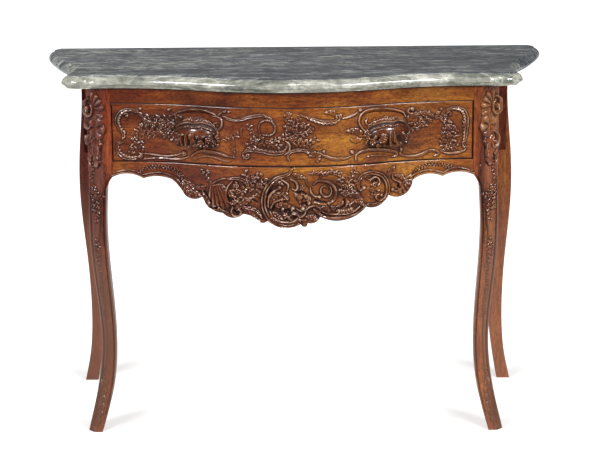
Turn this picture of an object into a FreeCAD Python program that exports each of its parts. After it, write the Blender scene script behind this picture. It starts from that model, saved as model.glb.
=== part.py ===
"""Serpentine pier table: a moulded marble slab on a walnut frame with one frieze drawer.

The origin is on the floor, under the middle of the marble's bounding box. X runs along the table,
+Y points to the wall behind it and +Z is up. The drawer slides out along -Y.
"""
import FreeCAD
import Part
import math
import os

V = FreeCAD.Vector
UP = V(0, 0, 1)

# ---------------------------------------------------------------- driving dimensions, millimetres
TABLE_HEIGHT = 870.0
TABLE_WIDTH = 1232.0         # over the marble's back lobes
TABLE_DEPTH = 525.0          # back edge of the marble to the middle of its front

# marble slab, in plan
MARBLE_THICKNESS = 30.0
BULGE = 82.0                 # the middle of the front stands this far before the hollows
CREASE_RADIUS = 3.0          # where the hollow meets the ear
EAR_SET_IN = 82.0            # the front ears reach this much less far out than the back lobes
EAR_WIDTH = 110.0            # deepest point of the hollow to the outermost point of the ear
EAR_STEP = 9.0               # the ear stands this far before the hollow
EAR_RADIUS = 65.0
NOSE_RADIUS = 30.0
NOSE_TURN = 27.0             # degrees from straight ahead where the ear's front turns into its nose
NECK_RADIUS = 215.0          # hollow between the ear and the flank
FLANK_RADIUS = 700.0
FLANK_TURN = 9.0             # degrees before straight sideways where the flank turns into the lobe
LOBE_RADIUS = 60.0
LOBE_CUT = 22.5              # the wall edge cuts this much off the lobe's round
SAW_SPARE = 4.0              # the moulded slab is sawn off square at the wall by this much

# marble slab, edge moulding: each pair is (drop below the top, inset from the widest outline)
EDGE_SHOULDER = ((0.0, 15.0), (2.5, 13.5), (4.0, 10.5))
EDGE_TORUS = ((4.0, 10.5), (6.0, 5.0), (9.5, 1.2), (14.0, 0.0), (18.0, 1.2), (20.5, 4.0))
EDGE_COVE = ((20.5, 6.5), (23.5, 7.5), (26.5, 9.5), (28.0, 12.0))
EDGE_FOOT = ((28.0, 12.0), (30.0, 12.0))

# frame
FRONT_OVERHANG = 28.0        # marble over the rails
EAR_OVERHANG = 50.0          # marble ear over the front post, sideways
LOBE_OVERHANG = 80.0         # marble lobe over the back post, sideways
WALL_OVERHANG = 12.0         # marble over the back of the frame
POST_WIDTH = 62.0            # front post, along X
POST_DEPTH = 58.0            # front post, along Y
POST_PROUD = 1.5             # the front post stands this far before the rails
POST_CANT = 42.0             # canted corner of the front post, along X
BACK_POST = 45.0             # back post, square
KNEE_DROP = 36.0             # from the underside of the drawer opening down to the knee
LEG_BRACKET = 17.0           # how far the knee's bracket reaches in under the apron
BRACKET_START = 0.94         # the bracket springs at this share of the knee's height
BRACKET_BOW = 0.62           # and its arc passes its chord's corner by this share
TOP_RAIL_HEIGHT = 37.0
TOP_RAIL_DEPTH = 45.0
BOARD = 24.0                 # apron and drawer front, thickness
SIDE_BOARD = 20.0
SIDE_SAG = 9.0               # hollow of the side boards in plan
SIDE_SET_IN = 2.0            # side boards lie this far inside the posts' faces
BACK_RAIL_THICKNESS = 20.0
BACK_RAIL_HEIGHT = 190.0
OPENING_HEIGHT = 140.0       # drawer opening
TENON_LENGTH = 22.0
TENON_THICKNESS = 9.0
TENON_SHOULDER = 8.0         # above and below a tenon

# front legs: (share of the knee's height, kick outwards, width, cant of the outer corner)
FRONT_LEG = (
    (0.00, 17.0, 35.0, 15.0),
    (0.15, -4.5, 38.0, 14.0),
    (0.36, -16.5, 36.5, 15.0),
    (0.62, -4.0, 41.5, 20.0),
    (0.84, 2.0, 44.0, 32.0),
)
FORWARD_KICK = 1.25          # the front legs kick forward this much more than sideways
# back legs: (share of the knee's height, kick outwards, width)
BACK_LEG = (
    (0.00, 19.0, 33.0),
    (0.09, 7.0, 31.0),
    (0.27, -3.5, 34.0),
    (0.52, 1.0, 36.0),
    (0.78, 13.5, 39.0),
)
BACK_HIP = 145.0             # the back legs' outer bulge runs this far up past the knee
BACK_HIP_KICK = 11.0         # and stands this far out
BACK_HIP_SHARE = 0.97        # at this share of the knee's height

# drawer
DRAWER_GAP = 1.5             # all round the drawer front
SIDE_CLEARANCE = 1.5         # between drawer side and guide
RUNNING_GAP = 0.3            # under the drawer sides, and before the stops
DRAWER_SIDE = 12.0
DRAWER_SIDE_HEIGHT = 125.0
DRAWER_BACK = 11.0
DRAWER_BACK_LOW = 6.0        # drawer back stands this much lower than the sides
BOTTOM_THICKNESS = 7.0
BOTTOM_RISE = 9.0            # underside of the bottom above the drawer's lower edge
GROOVE = 5.0
TAILS = 4                    # dovetails at each corner
TAIL_LENGTH = 16.0           # into the drawer front
TAIL_FLARE = 2.5             # a tail widens by this much on each side

# drawer pulls: hooded cups, hollow below for the fingers
PULL_SHIFT = 7.0             # outwards from the middle of each half of the drawer
PULL_RISE = 62.0             # widest part of the hood above the drawer's lower edge
PULL_HALF_WIDTH = 54.0
PULL_HEIGHT = 48.0           # from the widest part up
PULL_SKIRT = 18.0            # and down to the lip
PULL_SUNK = 2.0              # the hood's centre lies this far inside the drawer's face
PULL_REACH = 40.0            # from there to the front
HOLLOW_HALF_WIDTH = 40.0
HOLLOW_HEIGHT = 26.0
HOLLOW_REACH = 30.0

# inside the frame
RUNNER_WIDTH = 26.0          # under the drawer side
RUNNER_THICKNESS = 20.0
GUIDE_WIDTH = 20.0
GUIDE_HEIGHT = 26.0
KICKER_GAP = 2.0             # over the drawer sides
KICKER_THICKNESS = 18.0
KICKER_LAP = 8.0             # kickers run this far in under the top rail
STOP_DEPTH = 18.0
BEARER_WIDTH = 60.0
BEARER_THICKNESS = 24.0
BLOCK = 20.0
BLOCK_HEIGHT = 70.0
PEG_RADIUS = 3.5
SCREW_RADIUS = 2.0
SCREW_HEAD_RADIUS = 4.0
SCREW_LENGTH = 38.0
SCREW_SPACING = 34.0
SCREW_RISE = 9.0             # screws above the roof of the pull's hollow
NAIL_RADIUS = 1.0
NAIL_LENGTH = 20.0
NAIL_SPACING = 260.0

# apron: lower outline from the left post to the right one. Each row is an arc given by the point
# half way along it and its end: (mid x, mid drop, end x, end drop). An x is a share of the apron's
# half width, and a drop is measured from the opening's edge.
APRON_START = 37.0           # drop at both posts
APRON_ARCS = (
    (-0.926, 29.0, -0.832, 40.0),
    (-0.751, 34.0, -0.671, 40.0),
    (-0.628, 58.0, -0.602, 75.0),
    (-0.557, 84.0, -0.500, 76.0),
    (-0.467, 100.0, -0.389, 112.0),
    (-0.318, 122.0, -0.275, 112.0),
    (-0.230, 116.0, -0.178, 131.0),
    (-0.159, 131.5, -0.140, 127.0),
    (-0.057, 143.0, 0.045, 134.0),
    (0.064, 141.0, 0.083, 132.0),
    (0.114, 132.5, 0.152, 118.0),
    (0.275, 129.0, 0.405, 100.0),
    (0.474, 101.0, 0.526, 75.0),
    (0.590, 83.0, 0.661, 47.0),
    (0.739, 33.0, 0.832, 40.0),
)
APRON_LAST_MID = (0.927, 30.0)  # share and drop half way along the arc that ends at the right post
SIDE_APRON_DROP = 52.0       # side boards below the opening's edge, at the posts
SIDE_APRON_RISE = 26.0       # their arches rise by this
SIDE_APRON_CUSP = 16.0       # and the cusp in the middle hangs down again by this

# ---------------------------------------------------------------- places worked out from them
LOBE_HALF_WIDTH = TABLE_WIDTH / 2
EAR_HALF_WIDTH = LOBE_HALF_WIDTH - EAR_SET_IN
HOLLOW_X = EAR_HALF_WIDTH - EAR_WIDTH
MARBLE_FRONT = -TABLE_DEPTH / 2
MARBLE_BACK = TABLE_DEPTH / 2
FRAME_TOP = TABLE_HEIGHT - MARBLE_THICKNESS
OPENING_TOP = FRAME_TOP - TOP_RAIL_HEIGHT
OPENING_LOW = OPENING_TOP - OPENING_HEIGHT
KNEE = OPENING_LOW - KNEE_DROP
FRONT_RADIUS = (HOLLOW_X ** 2 + BULGE ** 2) / (4 * BULGE)
HOLLOW_Y = MARBLE_FRONT + BULGE
POST_OUT = EAR_HALF_WIDTH - EAR_OVERHANG
POST_IN = POST_OUT - POST_WIDTH
BACK_OUT = LOBE_HALF_WIDTH - LOBE_OVERHANG
BACK_IN = BACK_OUT - BACK_POST
FRAME_BACK = MARBLE_BACK - WALL_OVERHANG
RAIL_BACK = FRAME_BACK - (BACK_POST - BACK_RAIL_THICKNESS) / 2
RAIL_FACE = RAIL_BACK - BACK_RAIL_THICKNESS
BACK_POST_FACE = FRAME_BACK - BACK_POST
DRAWER_LOW = OPENING_LOW + DRAWER_GAP
DRAWER_TOP = OPENING_TOP - DRAWER_GAP
DRAWER_HALF = POST_IN - SIDE_CLEARANCE
DRAWER_END = RAIL_FACE - STOP_DEPTH - RUNNING_GAP
SIDE_TOP = DRAWER_LOW + DRAWER_SIDE_HEIGHT
PULL_X = POST_IN / 2 + PULL_SHIFT
FAR = 2 * LOBE_HALF_WIDTH    # longer than anything, for cutting


# ---------------------------------------------------------------- helpers
def box(x0, x1, y0, y1, z0, z1):
    return Part.makeBox(x1 - x0, y1 - y0, z1 - z0, V(x0, y0, z0))


def rod(start, direction, radius, length):
    return Part.makeCylinder(radius, length, start, direction)


def mirrored(shape):
    """The same piece on the table's other side."""
    return shape.mirror(V(0, 0, 0), V(1, 0, 0))


def joined(pieces):
    return pieces[0].multiFuse(pieces[1:]).removeSplitter()


def front_y(x, inset):
    """Serpentine front, at a distance inset behind the marble's widest outline."""
    x = abs(x)
    tangent_x = HOLLOW_X / 2 * (FRONT_RADIUS - inset) / FRONT_RADIUS
    if x <= tangent_x:
        return MARBLE_FRONT + FRONT_RADIUS - math.sqrt((FRONT_RADIUS - inset) ** 2 - x ** 2)
    return HOLLOW_Y - FRONT_RADIUS + math.sqrt((FRONT_RADIUS + inset) ** 2 - (x - HOLLOW_X) ** 2)


def front_arcs(half, inset, z):
    """The serpentine from -half to +half as three tangent arcs at one height."""
    tangent_x = HOLLOW_X / 2 * (FRONT_RADIUS - inset) / FRONT_RADIUS
    stops = (-half, -tangent_x, tangent_x, half)
    arcs = []
    for x0, x1 in zip(stops, stops[1:]):
        points = [V(x, front_y(x, inset), z) for x in (x0, (x0 + x1) / 2, x1)]
        arcs.append(Part.Arc(*points).toShape())
    return arcs


def serpentine_board(half, inset, thickness, z0, z1):
    """A board bent to the serpentine, with square ends."""
    front = front_arcs(half, inset, z0)
    back = front_arcs(half, inset + thickness, z0)
    ends = []
    for x in (-half, half):
        ends.append(Part.makeLine(V(x, front_y(x, inset), z0), V(x, front_y(x, inset + thickness), z0)))
    outline = Part.Wire(Part.__sortEdges__(front + back + ends))
    return Part.Face(outline).extrude(UP * (z1 - z0))


def serpentine_slab(half, inset, y_back, z0, z1):
    """A panel with a serpentine front edge and a straight back edge."""
    front = front_arcs(half, inset, z0)
    corners = [
        V(half, front_y(half, inset), z0),
        V(half, y_back, z0),
        V(-half, y_back, z0),
        V(-half, front_y(half, inset), z0),
    ]
    sides = [Part.makeLine(a, b) for a, b in zip(corners, corners[1:])]
    outline = Part.Wire(Part.__sortEdges__(front + sides))
    return Part.Face(outline).extrude(UP * (z1 - z0))


# ---------------------------------------------------------------- marble slab
def tangent_circle(a, b, signed, side):
    """A circle that touches circles a and b. A circle is (x, y, radius), negative where it is hollow."""
    near, far = abs(signed - a[2]), abs(signed - b[2])
    gap = math.hypot(b[0] - a[0], b[1] - a[1])
    along = (near ** 2 - far ** 2 + gap ** 2) / (2 * gap)
    across = side * math.sqrt(near ** 2 - along ** 2)
    ux, uy = (b[0] - a[0]) / gap, (b[1] - a[1]) / gap
    return (a[0] + along * ux - across * uy, a[1] + along * uy + across * ux, signed)


def marble_circles():
    """Circles of the slab's outline from the middle of the front round to the right back corner."""
    turn = math.radians(NOSE_TURN)
    flank_turn = math.radians(FLANK_TURN)
    step = EAR_RADIUS - NOSE_RADIUS
    middle = (0.0, MARBLE_FRONT + FRONT_RADIUS, FRONT_RADIUS)
    hollow = (HOLLOW_X, HOLLOW_Y - FRONT_RADIUS, -FRONT_RADIUS)
    nose_x = EAR_HALF_WIDTH - NOSE_RADIUS
    ear = (nose_x - step * math.sin(turn), HOLLOW_Y - EAR_STEP + EAR_RADIUS, EAR_RADIUS)
    nose = (nose_x, ear[1] - step * math.cos(turn), NOSE_RADIUS)
    lobe = (LOBE_HALF_WIDTH - LOBE_RADIUS, MARBLE_BACK - LOBE_RADIUS + LOBE_CUT, LOBE_RADIUS)
    reach = FLANK_RADIUS - LOBE_RADIUS
    flank_y = lobe[1] + reach * math.sin(flank_turn)
    flank = (lobe[0] - reach * math.cos(flank_turn), flank_y, FLANK_RADIUS)
    crease = tangent_circle(hollow, ear, -CREASE_RADIUS, 1)
    neck = tangent_circle(nose, flank, -NECK_RADIUS, -1)
    return [middle, hollow, crease, ear, nose, neck, flank, lobe]


def marble_outline(inset, z):
    """Closed outline of the slab at one height, a little past the wall edge."""
    right = marble_circles()
    left = [(-x, y, r) for x, y, r in reversed(right[1:])]
    chain = left + right
    normals = []
    for a, b in zip(chain, chain[1:]):
        normals.append(((a[0] - b[0]) / (b[2] - a[2]), (a[1] - b[1]) / (b[2] - a[2])))
    lobe = right[-1]
    rise = (MARBLE_BACK + SAW_SPARE - lobe[1]) / (lobe[2] - inset)
    run = math.sqrt(1 - rise ** 2)
    normals = [(-run, rise)] + normals + [(run, rise)]
    edges = []
    for (x, y, r), start, end in zip(chain, normals, normals[1:]):
        middle = (start[0] + end[0], start[1] + end[1])
        length = math.hypot(*middle)
        middle = (middle[0] / length, middle[1] / length)
        points = [V(x + (r - inset) * n[0], y + (r - inset) * n[1], z) for n in (start, middle, end)]
        edges.append(Part.Arc(*points).toShape())
    first = edges[0].valueAt(edges[0].FirstParameter)
    last = edges[-1].valueAt(edges[-1].LastParameter)
    edges.append(Part.makeLine(last, first))
    return Part.Wire(edges)


def marble_layer(levels, ruled):
    """A slice of the slab between its first and last level of the edge moulding."""
    wires = [marble_outline(inset, TABLE_HEIGHT - drop) for drop, inset in levels]
    return Part.makeLoft(wires, True, ruled)


def marble_top():
    """The slab, moulded round its edge in layers and sawn off square at the wall."""
    layers = [
        marble_layer(EDGE_SHOULDER, False),
        marble_layer(EDGE_TORUS, False),
        marble_layer(EDGE_COVE, False),
        marble_layer(EDGE_FOOT, True),
    ]
    waste = box(-FAR, FAR, MARBLE_BACK, FAR, 0, FAR)
    return layers[0].multiFuse(layers[1:]).cut(waste).removeSplitter()


# ---------------------------------------------------------------- legs
def spline(points, upright_end=False):
    """A smooth edge through the points, which can leave its last one straight up."""
    curve = Part.BSplineCurve()
    if upright_end:
        curve.interpolate(Points=points, FinalTangent=UP, InitialTangent=points[1] - points[0])
    else:
        curve.interpolate(points)
    return curve.toShape()


def leg_profile(place, outer, outer_top, inner, post_inner):
    """A leg as sawn out of the board in one direction, as a face.

    place(d, z) turns a distance and a height into a point. The outer line runs up through its
    points to outer_top and on to the frame's top. The inner line ends in a bracket at the knee.
    """
    outer_points = [place(d, z) for d, z in outer] + [place(*outer_top)]
    inner_points = [place(d, z) for d, z in inner]
    last_d, last_z = inner[-1]
    bow_d = post_inner + (last_d - post_inner) * BRACKET_BOW
    bow_z = last_z + (KNEE - last_z) * BRACKET_BOW
    edges = [
        spline(outer_points, True),
        Part.makeLine(place(*outer_top), place(outer_top[0], FRAME_TOP)),
        Part.makeLine(place(outer_top[0], FRAME_TOP), place(post_inner, FRAME_TOP)),
        Part.makeLine(place(post_inner, FRAME_TOP), place(post_inner, KNEE)),
        Part.Arc(inner_points[-1], place(bow_d, bow_z), place(post_inner, KNEE)).toShape(),
        spline(inner_points),
        Part.makeLine(inner_points[0], outer_points[0]),
    ]
    return Part.Face(Part.Wire(Part.__sortEdges__(edges)))


def in_xz(d, z):
    return V(d, 0, z)


def in_yz(d, z):
    return V(0, d, z)


def front_leg():
    """Right front leg: sawn to one curve from the front and one from the side, then canted."""
    heights = [KNEE * row[0] for row in FRONT_LEG]
    outer = [(POST_OUT + row[1], z) for row, z in zip(FRONT_LEG, heights)]
    inner = [(POST_OUT + row[1] - row[2], z) for row, z in zip(FRONT_LEG, heights)]
    shoulder_z = KNEE * BRACKET_START
    inner.append((POST_IN + LEG_BRACKET, shoulder_z))
    from_front = leg_profile(in_xz, outer, (POST_OUT, KNEE), inner, POST_IN)
    from_front = from_front.extrude(V(0, FAR, 0))
    from_front.translate(V(0, -FAR / 2, 0))

    face = front_y(POST_IN, FRONT_OVERHANG) - POST_PROUD
    rear = face + POST_DEPTH
    front = [(face - row[1] * FORWARD_KICK, z) for row, z in zip(FRONT_LEG, heights)]
    back = [(face - row[1] * FORWARD_KICK + row[2], z) for row, z in zip(FRONT_LEG, heights)]
    back.append((rear - LEG_BRACKET / 2, shoulder_z))
    from_side = leg_profile(in_yz, front, (face, KNEE), back, rear)
    from_side = from_side.extrude(V(FAR, 0, 0))
    leg = from_front.common(from_side)

    slant = math.sqrt(0.5)
    cant = []
    for row, (x, z), (y, _) in zip(FRONT_LEG, outer, front):
        cant.append(V((x - y - row[3]) * slant, 0, z))
    top = (POST_OUT - face - POST_CANT) * slant
    cant.append(V(top, 0, KNEE))
    edges = [
        spline(cant, True),
        Part.makeLine(V(top, 0, KNEE), V(top, 0, FRAME_TOP)),
        Part.makeLine(V(top, 0, FRAME_TOP), V(0, 0, FRAME_TOP)),
        Part.makeLine(V(0, 0, FRAME_TOP), V(0, 0, 0)),
        Part.makeLine(V(0, 0, 0), cant[0]),
    ]
    canted = Part.Face(Part.Wire(edges)).extrude(V(0, 2 * FAR, 0))
    canted.translate(V(0, -FAR, 0))
    canted.rotate(V(0, 0, 0), UP, -45)
    return leg.common(canted)


def back_leg():
    """Right back leg: sawn to curves on three sides, flat towards the wall."""
    heights = [KNEE * row[0] for row in BACK_LEG]
    outer = [(BACK_OUT + row[1], z) for row, z in zip(BACK_LEG, heights)]
    inner = [(BACK_OUT + row[1] - row[2], z) for row, z in zip(BACK_LEG, heights)]
    shoulder_z = KNEE * BRACKET_START
    inner.append((BACK_IN + LEG_BRACKET, shoulder_z))
    outer.append((BACK_OUT + BACK_HIP_KICK, KNEE * BACK_HIP_SHARE))
    from_front = leg_profile(in_xz, outer, (BACK_OUT, KNEE + BACK_HIP), inner, BACK_IN)
    from_front = from_front.extrude(V(0, FAR, 0))
    from_front.translate(V(0, -FAR / 2, 0))

    front = [V(0, FRAME_BACK - row[2], z) for row, z in zip(BACK_LEG, heights)]
    front.append(V(0, BACK_POST_FACE, KNEE))
    corners = [
        front[-1],
        V(0, BACK_POST_FACE, FRAME_TOP),
        V(0, FRAME_BACK, FRAME_TOP),
        V(0, FRAME_BACK, 0),
        front[0],
    ]
    edges = [spline(front, True)] + [Part.makeLine(a, b) for a, b in zip(corners, corners[1:])]
    from_side = Part.Face(Part.Wire(edges)).extrude(V(FAR, 0, 0))
    return from_front.common(from_side)


# ---------------------------------------------------------------- rails, aprons and side boards
def rail_tenons(inset, thickness, z0, z1):
    """Tenons on both ends of a serpentine rail."""
    y = front_y(POST_IN, inset) + (thickness - TENON_THICKNESS) / 2
    tenon = box(POST_IN, POST_IN + TENON_LENGTH, y, y + TENON_THICKNESS, z0, z1)
    return [tenon, mirrored(tenon)]


def front_top_rail():
    body = serpentine_board(POST_IN, FRONT_OVERHANG, TOP_RAIL_DEPTH, OPENING_TOP, FRAME_TOP)
    low = OPENING_TOP + TENON_SHOULDER
    return joined([body] + rail_tenons(FRONT_OVERHANG, BOARD, low, FRAME_TOP - TENON_SHOULDER))


def apron_outline():
    """Front view of the apron as a face: straight above, scrolled arcs below."""
    ends = V(-POST_IN, 0, OPENING_LOW - APRON_START)
    edges = []
    last_arc = (*APRON_LAST_MID, 1.0, APRON_START)
    for mid_share, mid_drop, end_share, end_drop in APRON_ARCS + (last_arc,):
        mid = V(mid_share * POST_IN, 0, OPENING_LOW - mid_drop)
        stop = V(end_share * POST_IN, 0, OPENING_LOW - end_drop)
        edges.append(Part.Arc(ends, mid, stop).toShape())
        ends = stop
    corners = [
        ends,
        V(POST_IN, 0, OPENING_LOW),
        V(-POST_IN, 0, OPENING_LOW),
        V(-POST_IN, 0, OPENING_LOW - APRON_START),
    ]
    edges += [Part.makeLine(a, b) for a, b in zip(corners, corners[1:])]
    return Part.Face(Part.Wire(edges))


def front_apron():
    blank = serpentine_board(POST_IN, FRONT_OVERHANG, BOARD, OPENING_LOW - FAR / 4, OPENING_LOW)
    sawn = apron_outline().extrude(V(0, FAR, 0))
    sawn.translate(V(0, -FAR / 2, 0))
    low = OPENING_LOW - APRON_START + TENON_SHOULDER
    tenons = rail_tenons(FRONT_OVERHANG, BOARD, low, OPENING_LOW - TENON_SHOULDER / 2)
    return joined([blank.common(sawn)] + tenons)


def front_post_rear():
    return front_y(POST_IN, FRONT_OVERHANG) - POST_PROUD + POST_DEPTH


def side_plan(offset):
    """Ends and middle of a side board's face, offset inwards from its outer one."""
    y0, y1 = front_post_rear(), BACK_POST_FACE
    x0, x1 = POST_OUT - SIDE_SET_IN - offset, BACK_OUT - SIDE_SET_IN - offset
    return V(x0, y0, 0), V((x0 + x1) / 2 - SIDE_SAG, (y0 + y1) / 2, 0), V(x1, y1, 0)


def side_apron():
    """Right side board, hollow in plan, with two arches below, tenoned into both posts."""
    outer, inner = side_plan(0), side_plan(SIDE_BOARD)
    edges = [
        Part.Arc(*outer).toShape(),
        Part.makeLine(outer[2], inner[2]),
        Part.Arc(*inner).toShape(),
        Part.makeLine(inner[0], outer[0]),
    ]
    blank = Part.Face(Part.Wire(Part.__sortEdges__(edges))).extrude(UP * FRAME_TOP)
    y0, y1 = outer[0].y, outer[2].y
    middle, span = (y0 + y1) / 2, y1 - y0
    low = OPENING_LOW - SIDE_APRON_DROP
    arch = low + SIDE_APRON_RISE
    cusp = arch - SIDE_APRON_CUSP
    arcs = [
        Part.Arc(V(0, y0, low), V(0, y0 + span / 5, arch), V(0, middle, cusp)).toShape(),
        Part.Arc(V(0, middle, cusp), V(0, y1 - span / 5, arch), V(0, y1, low)).toShape(),
    ]
    corners = [V(0, y1, low), V(0, y1, FRAME_TOP), V(0, y0, FRAME_TOP), V(0, y0, low)]
    arcs += [Part.makeLine(a, b) for a, b in zip(corners, corners[1:])]
    sawn = Part.Face(Part.Wire(arcs)).extrude(V(FAR, 0, 0))
    z0, z1 = low + TENON_SHOULDER, FRAME_TOP - TENON_SHOULDER
    tenons = []
    for end, lower, upper in ((outer[0], y0 - TENON_LENGTH, y0), (outer[2], y1, y1 + TENON_LENGTH)):
        x = end.x - (SIDE_BOARD + TENON_THICKNESS) / 2
        tenons.append(box(x, x + TENON_THICKNESS, lower, upper, z0, z1))
    return joined([blank.common(sawn)] + tenons)


def back_rail():
    low = FRAME_TOP - BACK_RAIL_HEIGHT
    body = box(-BACK_IN, BACK_IN, RAIL_FACE, RAIL_BACK, low, FRAME_TOP)
    y = (RAIL_FACE + RAIL_BACK - TENON_THICKNESS) / 2
    z0, z1 = low + TENON_SHOULDER, FRAME_TOP - TENON_SHOULDER
    tenon = box(BACK_IN, BACK_IN + TENON_LENGTH, y, y + TENON_THICKNESS, z0, z1)
    return joined([body, tenon, mirrored(tenon)])


# ---------------------------------------------------------------- drawer
def tails(y_root, y_tip):
    """Dovetails on the end of the right drawer side, wider at the tip than at the root."""
    x0, x1 = DRAWER_HALF - DRAWER_SIDE, DRAWER_HALF
    pitch = DRAWER_SIDE_HEIGHT / TAILS
    out = []
    for i in range(TAILS):
        middle = DRAWER_LOW + pitch * (i + 0.5)
        root = pitch / 3 - TAIL_FLARE / 2
        tip = root + TAIL_FLARE
        corners = [
            V(x0, y_root, middle - root),
            V(x0, y_tip, middle - tip),
            V(x0, y_tip, middle + tip),
            V(x0, y_root, middle + root),
        ]
        out.append(Part.Face(Part.makePolygon(corners + corners[:1])).extrude(V(x1 - x0, 0, 0)))
    return out


def drawer_boards():
    """The five boards of the drawer, housed into each other."""
    front_inset = FRONT_OVERHANG + BOARD
    root = front_y(DRAWER_HALF, front_inset)
    back_face = DRAWER_END - DRAWER_BACK
    front_tails = tails(root, root - TAIL_LENGTH)
    back_tails = tails(back_face, DRAWER_END)
    front = serpentine_board(DRAWER_HALF, FRONT_OVERHANG, BOARD, DRAWER_LOW, DRAWER_TOP)
    plank = box(DRAWER_HALF - DRAWER_SIDE, DRAWER_HALF, root, back_face, DRAWER_LOW, SIDE_TOP)
    side = joined([plank.cut(front)] + front_tails + back_tails)
    panel_low = DRAWER_LOW + BOTTOM_RISE
    panel_top = panel_low + BOTTOM_THICKNESS
    back_top = SIDE_TOP - DRAWER_BACK_LOW
    back = box(-DRAWER_HALF, DRAWER_HALF, back_face, DRAWER_END, panel_top, back_top)
    half = DRAWER_HALF - DRAWER_SIDE + GROOVE
    panel = serpentine_slab(half, front_inset - GROOVE, DRAWER_END, panel_low, panel_top)
    side = side.cut(panel)
    left_side = mirrored(side)
    front = front.cut(side).cut(left_side).cut(panel)
    back = back.cut(side).cut(left_side)
    return front, side, left_side, back, panel


def stretched(shape, half_width, reach, height, centre):
    """A round solid of unit size, its seam turned to the wall, stretched and put in its place."""
    shape.rotate(V(0, 0, 0), UP, 90)
    matrix = FreeCAD.Matrix()
    matrix.scale(half_width, reach, height)
    shape = shape.transformGeometry(matrix)
    shape.translate(centre)
    return shape


def pull_turn():
    """Turn of the right pull about Z, so that it stands square to the serpentine face."""
    step = 1.0
    rise = front_y(PULL_X + step, FRONT_OVERHANG) - front_y(PULL_X - step, FRONT_OVERHANG)
    return math.degrees(math.atan2(rise, 2 * step))


def pull_centre():
    """Middle of the right pull's widest part, a little inside the drawer's face."""
    return V(PULL_X, front_y(PULL_X, FRONT_OVERHANG) + PULL_SUNK, DRAWER_LOW + PULL_RISE)


def pull():
    """Right pull: a hood on the drawer face, hollow and open below."""
    centre = pull_centre()
    hood = stretched(Part.makeSphere(1.0), PULL_HALF_WIDTH, PULL_REACH, PULL_HEIGHT, centre)
    hollow = stretched(Part.makeSphere(1.0), HOLLOW_HALF_WIDTH, HOLLOW_REACH, HOLLOW_HEIGHT, centre)
    shaft = Part.makeCylinder(1.0, 1.0, V(0, 0, -1))
    mouth = stretched(shaft, HOLLOW_HALF_WIDTH, HOLLOW_REACH, PULL_HEIGHT, centre)
    below = box(0, 2 * PULL_X, -FAR, FAR, 0, centre.z - PULL_SKIRT)
    body = hood.cut(hollow).cut(mouth).cut(below)
    body.rotate(centre, UP, pull_turn())
    behind = serpentine_board(DRAWER_HALF, FRONT_OVERHANG, 2 * PULL_REACH, DRAWER_LOW, DRAWER_TOP)
    return body.cut(behind)


def pull_screws():
    """Two screws for the right pull, driven from inside the drawer."""
    centre = pull_centre()
    height = centre.z + HOLLOW_HEIGHT + SCREW_RISE
    inside = centre.y - PULL_SUNK + BOARD + SCREW_HEAD_RADIUS / 2
    screws = []
    for x in (-SCREW_SPACING / 2, SCREW_SPACING / 2):
        start = V(centre.x + x, inside, height)
        shank = rod(start, V(0, -1, 0), SCREW_RADIUS, SCREW_LENGTH)
        head = Part.makeCone(SCREW_HEAD_RADIUS, SCREW_RADIUS, SCREW_HEAD_RADIUS, start, V(0, -1, 0))
        screw = shank.fuse(head)
        screw.rotate(centre, UP, pull_turn())
        screws.append(screw)
    return screws


def bottom_nails():
    """Nails up through the drawer's bottom into its back."""
    y = DRAWER_END - DRAWER_BACK / 2
    z = DRAWER_LOW + BOTTOM_RISE
    return [rod(V(i * NAIL_SPACING, y, z), UP, NAIL_RADIUS, NAIL_LENGTH) for i in (-1, 0, 1)]


# ---------------------------------------------------------------- what carries the drawer
def runner(rails):
    """Right runner: the drawer side slides on it, and the guide is fixed to it."""
    top = DRAWER_LOW - RUNNING_GAP
    low = top - RUNNER_THICKNESS
    start = front_y(POST_IN, FRONT_OVERHANG + BOARD)
    inner = box(POST_IN - RUNNER_WIDTH, POST_IN, start - BOARD / 2, RAIL_FACE, low, top)
    outer = box(POST_IN, POST_IN + GUIDE_WIDTH, front_post_rear(), RAIL_FACE, low, top)
    return joined([inner, outer]).cut(rails)


def drawer_guide():
    low = DRAWER_LOW - RUNNING_GAP
    return box(POST_IN, POST_IN + GUIDE_WIDTH, front_post_rear(), RAIL_FACE, low, low + GUIDE_HEIGHT)


def kicker(rails):
    low = SIDE_TOP + KICKER_GAP
    start = front_y(POST_IN, FRONT_OVERHANG + TOP_RAIL_DEPTH)
    start -= KICKER_LAP
    body = box(POST_IN - RUNNER_WIDTH, POST_IN, start, RAIL_FACE, low, low + KICKER_THICKNESS)
    return body.cut(rails)


def drawer_stop():
    low = DRAWER_LOW - RUNNING_GAP
    return box(POST_IN - RUNNER_WIDTH, POST_IN, RAIL_FACE - STOP_DEPTH, RAIL_FACE, low, low + GUIDE_HEIGHT)


def centre_bearer(rail):
    half = BEARER_WIDTH / 2
    start = front_y(half, FRONT_OVERHANG + TOP_RAIL_DEPTH) - BEARER_WIDTH / 4
    return box(-half, half, start, RAIL_FACE, FRAME_TOP - BEARER_THICKNESS, FRAME_TOP).cut(rail)


def corner_blocks(board):
    """Glue blocks on the right: one behind the front post, one in the back corner."""
    z0 = (OPENING_LOW + OPENING_TOP - BLOCK_HEIGHT) / 2
    z1 = z0 + BLOCK_HEIGHT
    y = front_post_rear()
    x = side_plan(SIDE_BOARD)[0].x
    front = box(x - BLOCK, x + BLOCK / 2, y, y + BLOCK, z0, z1).cut(board)
    back = box(BACK_IN - BLOCK, BACK_IN, BACK_POST_FACE, RAIL_FACE, z0, z1)
    return [front, back]


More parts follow.
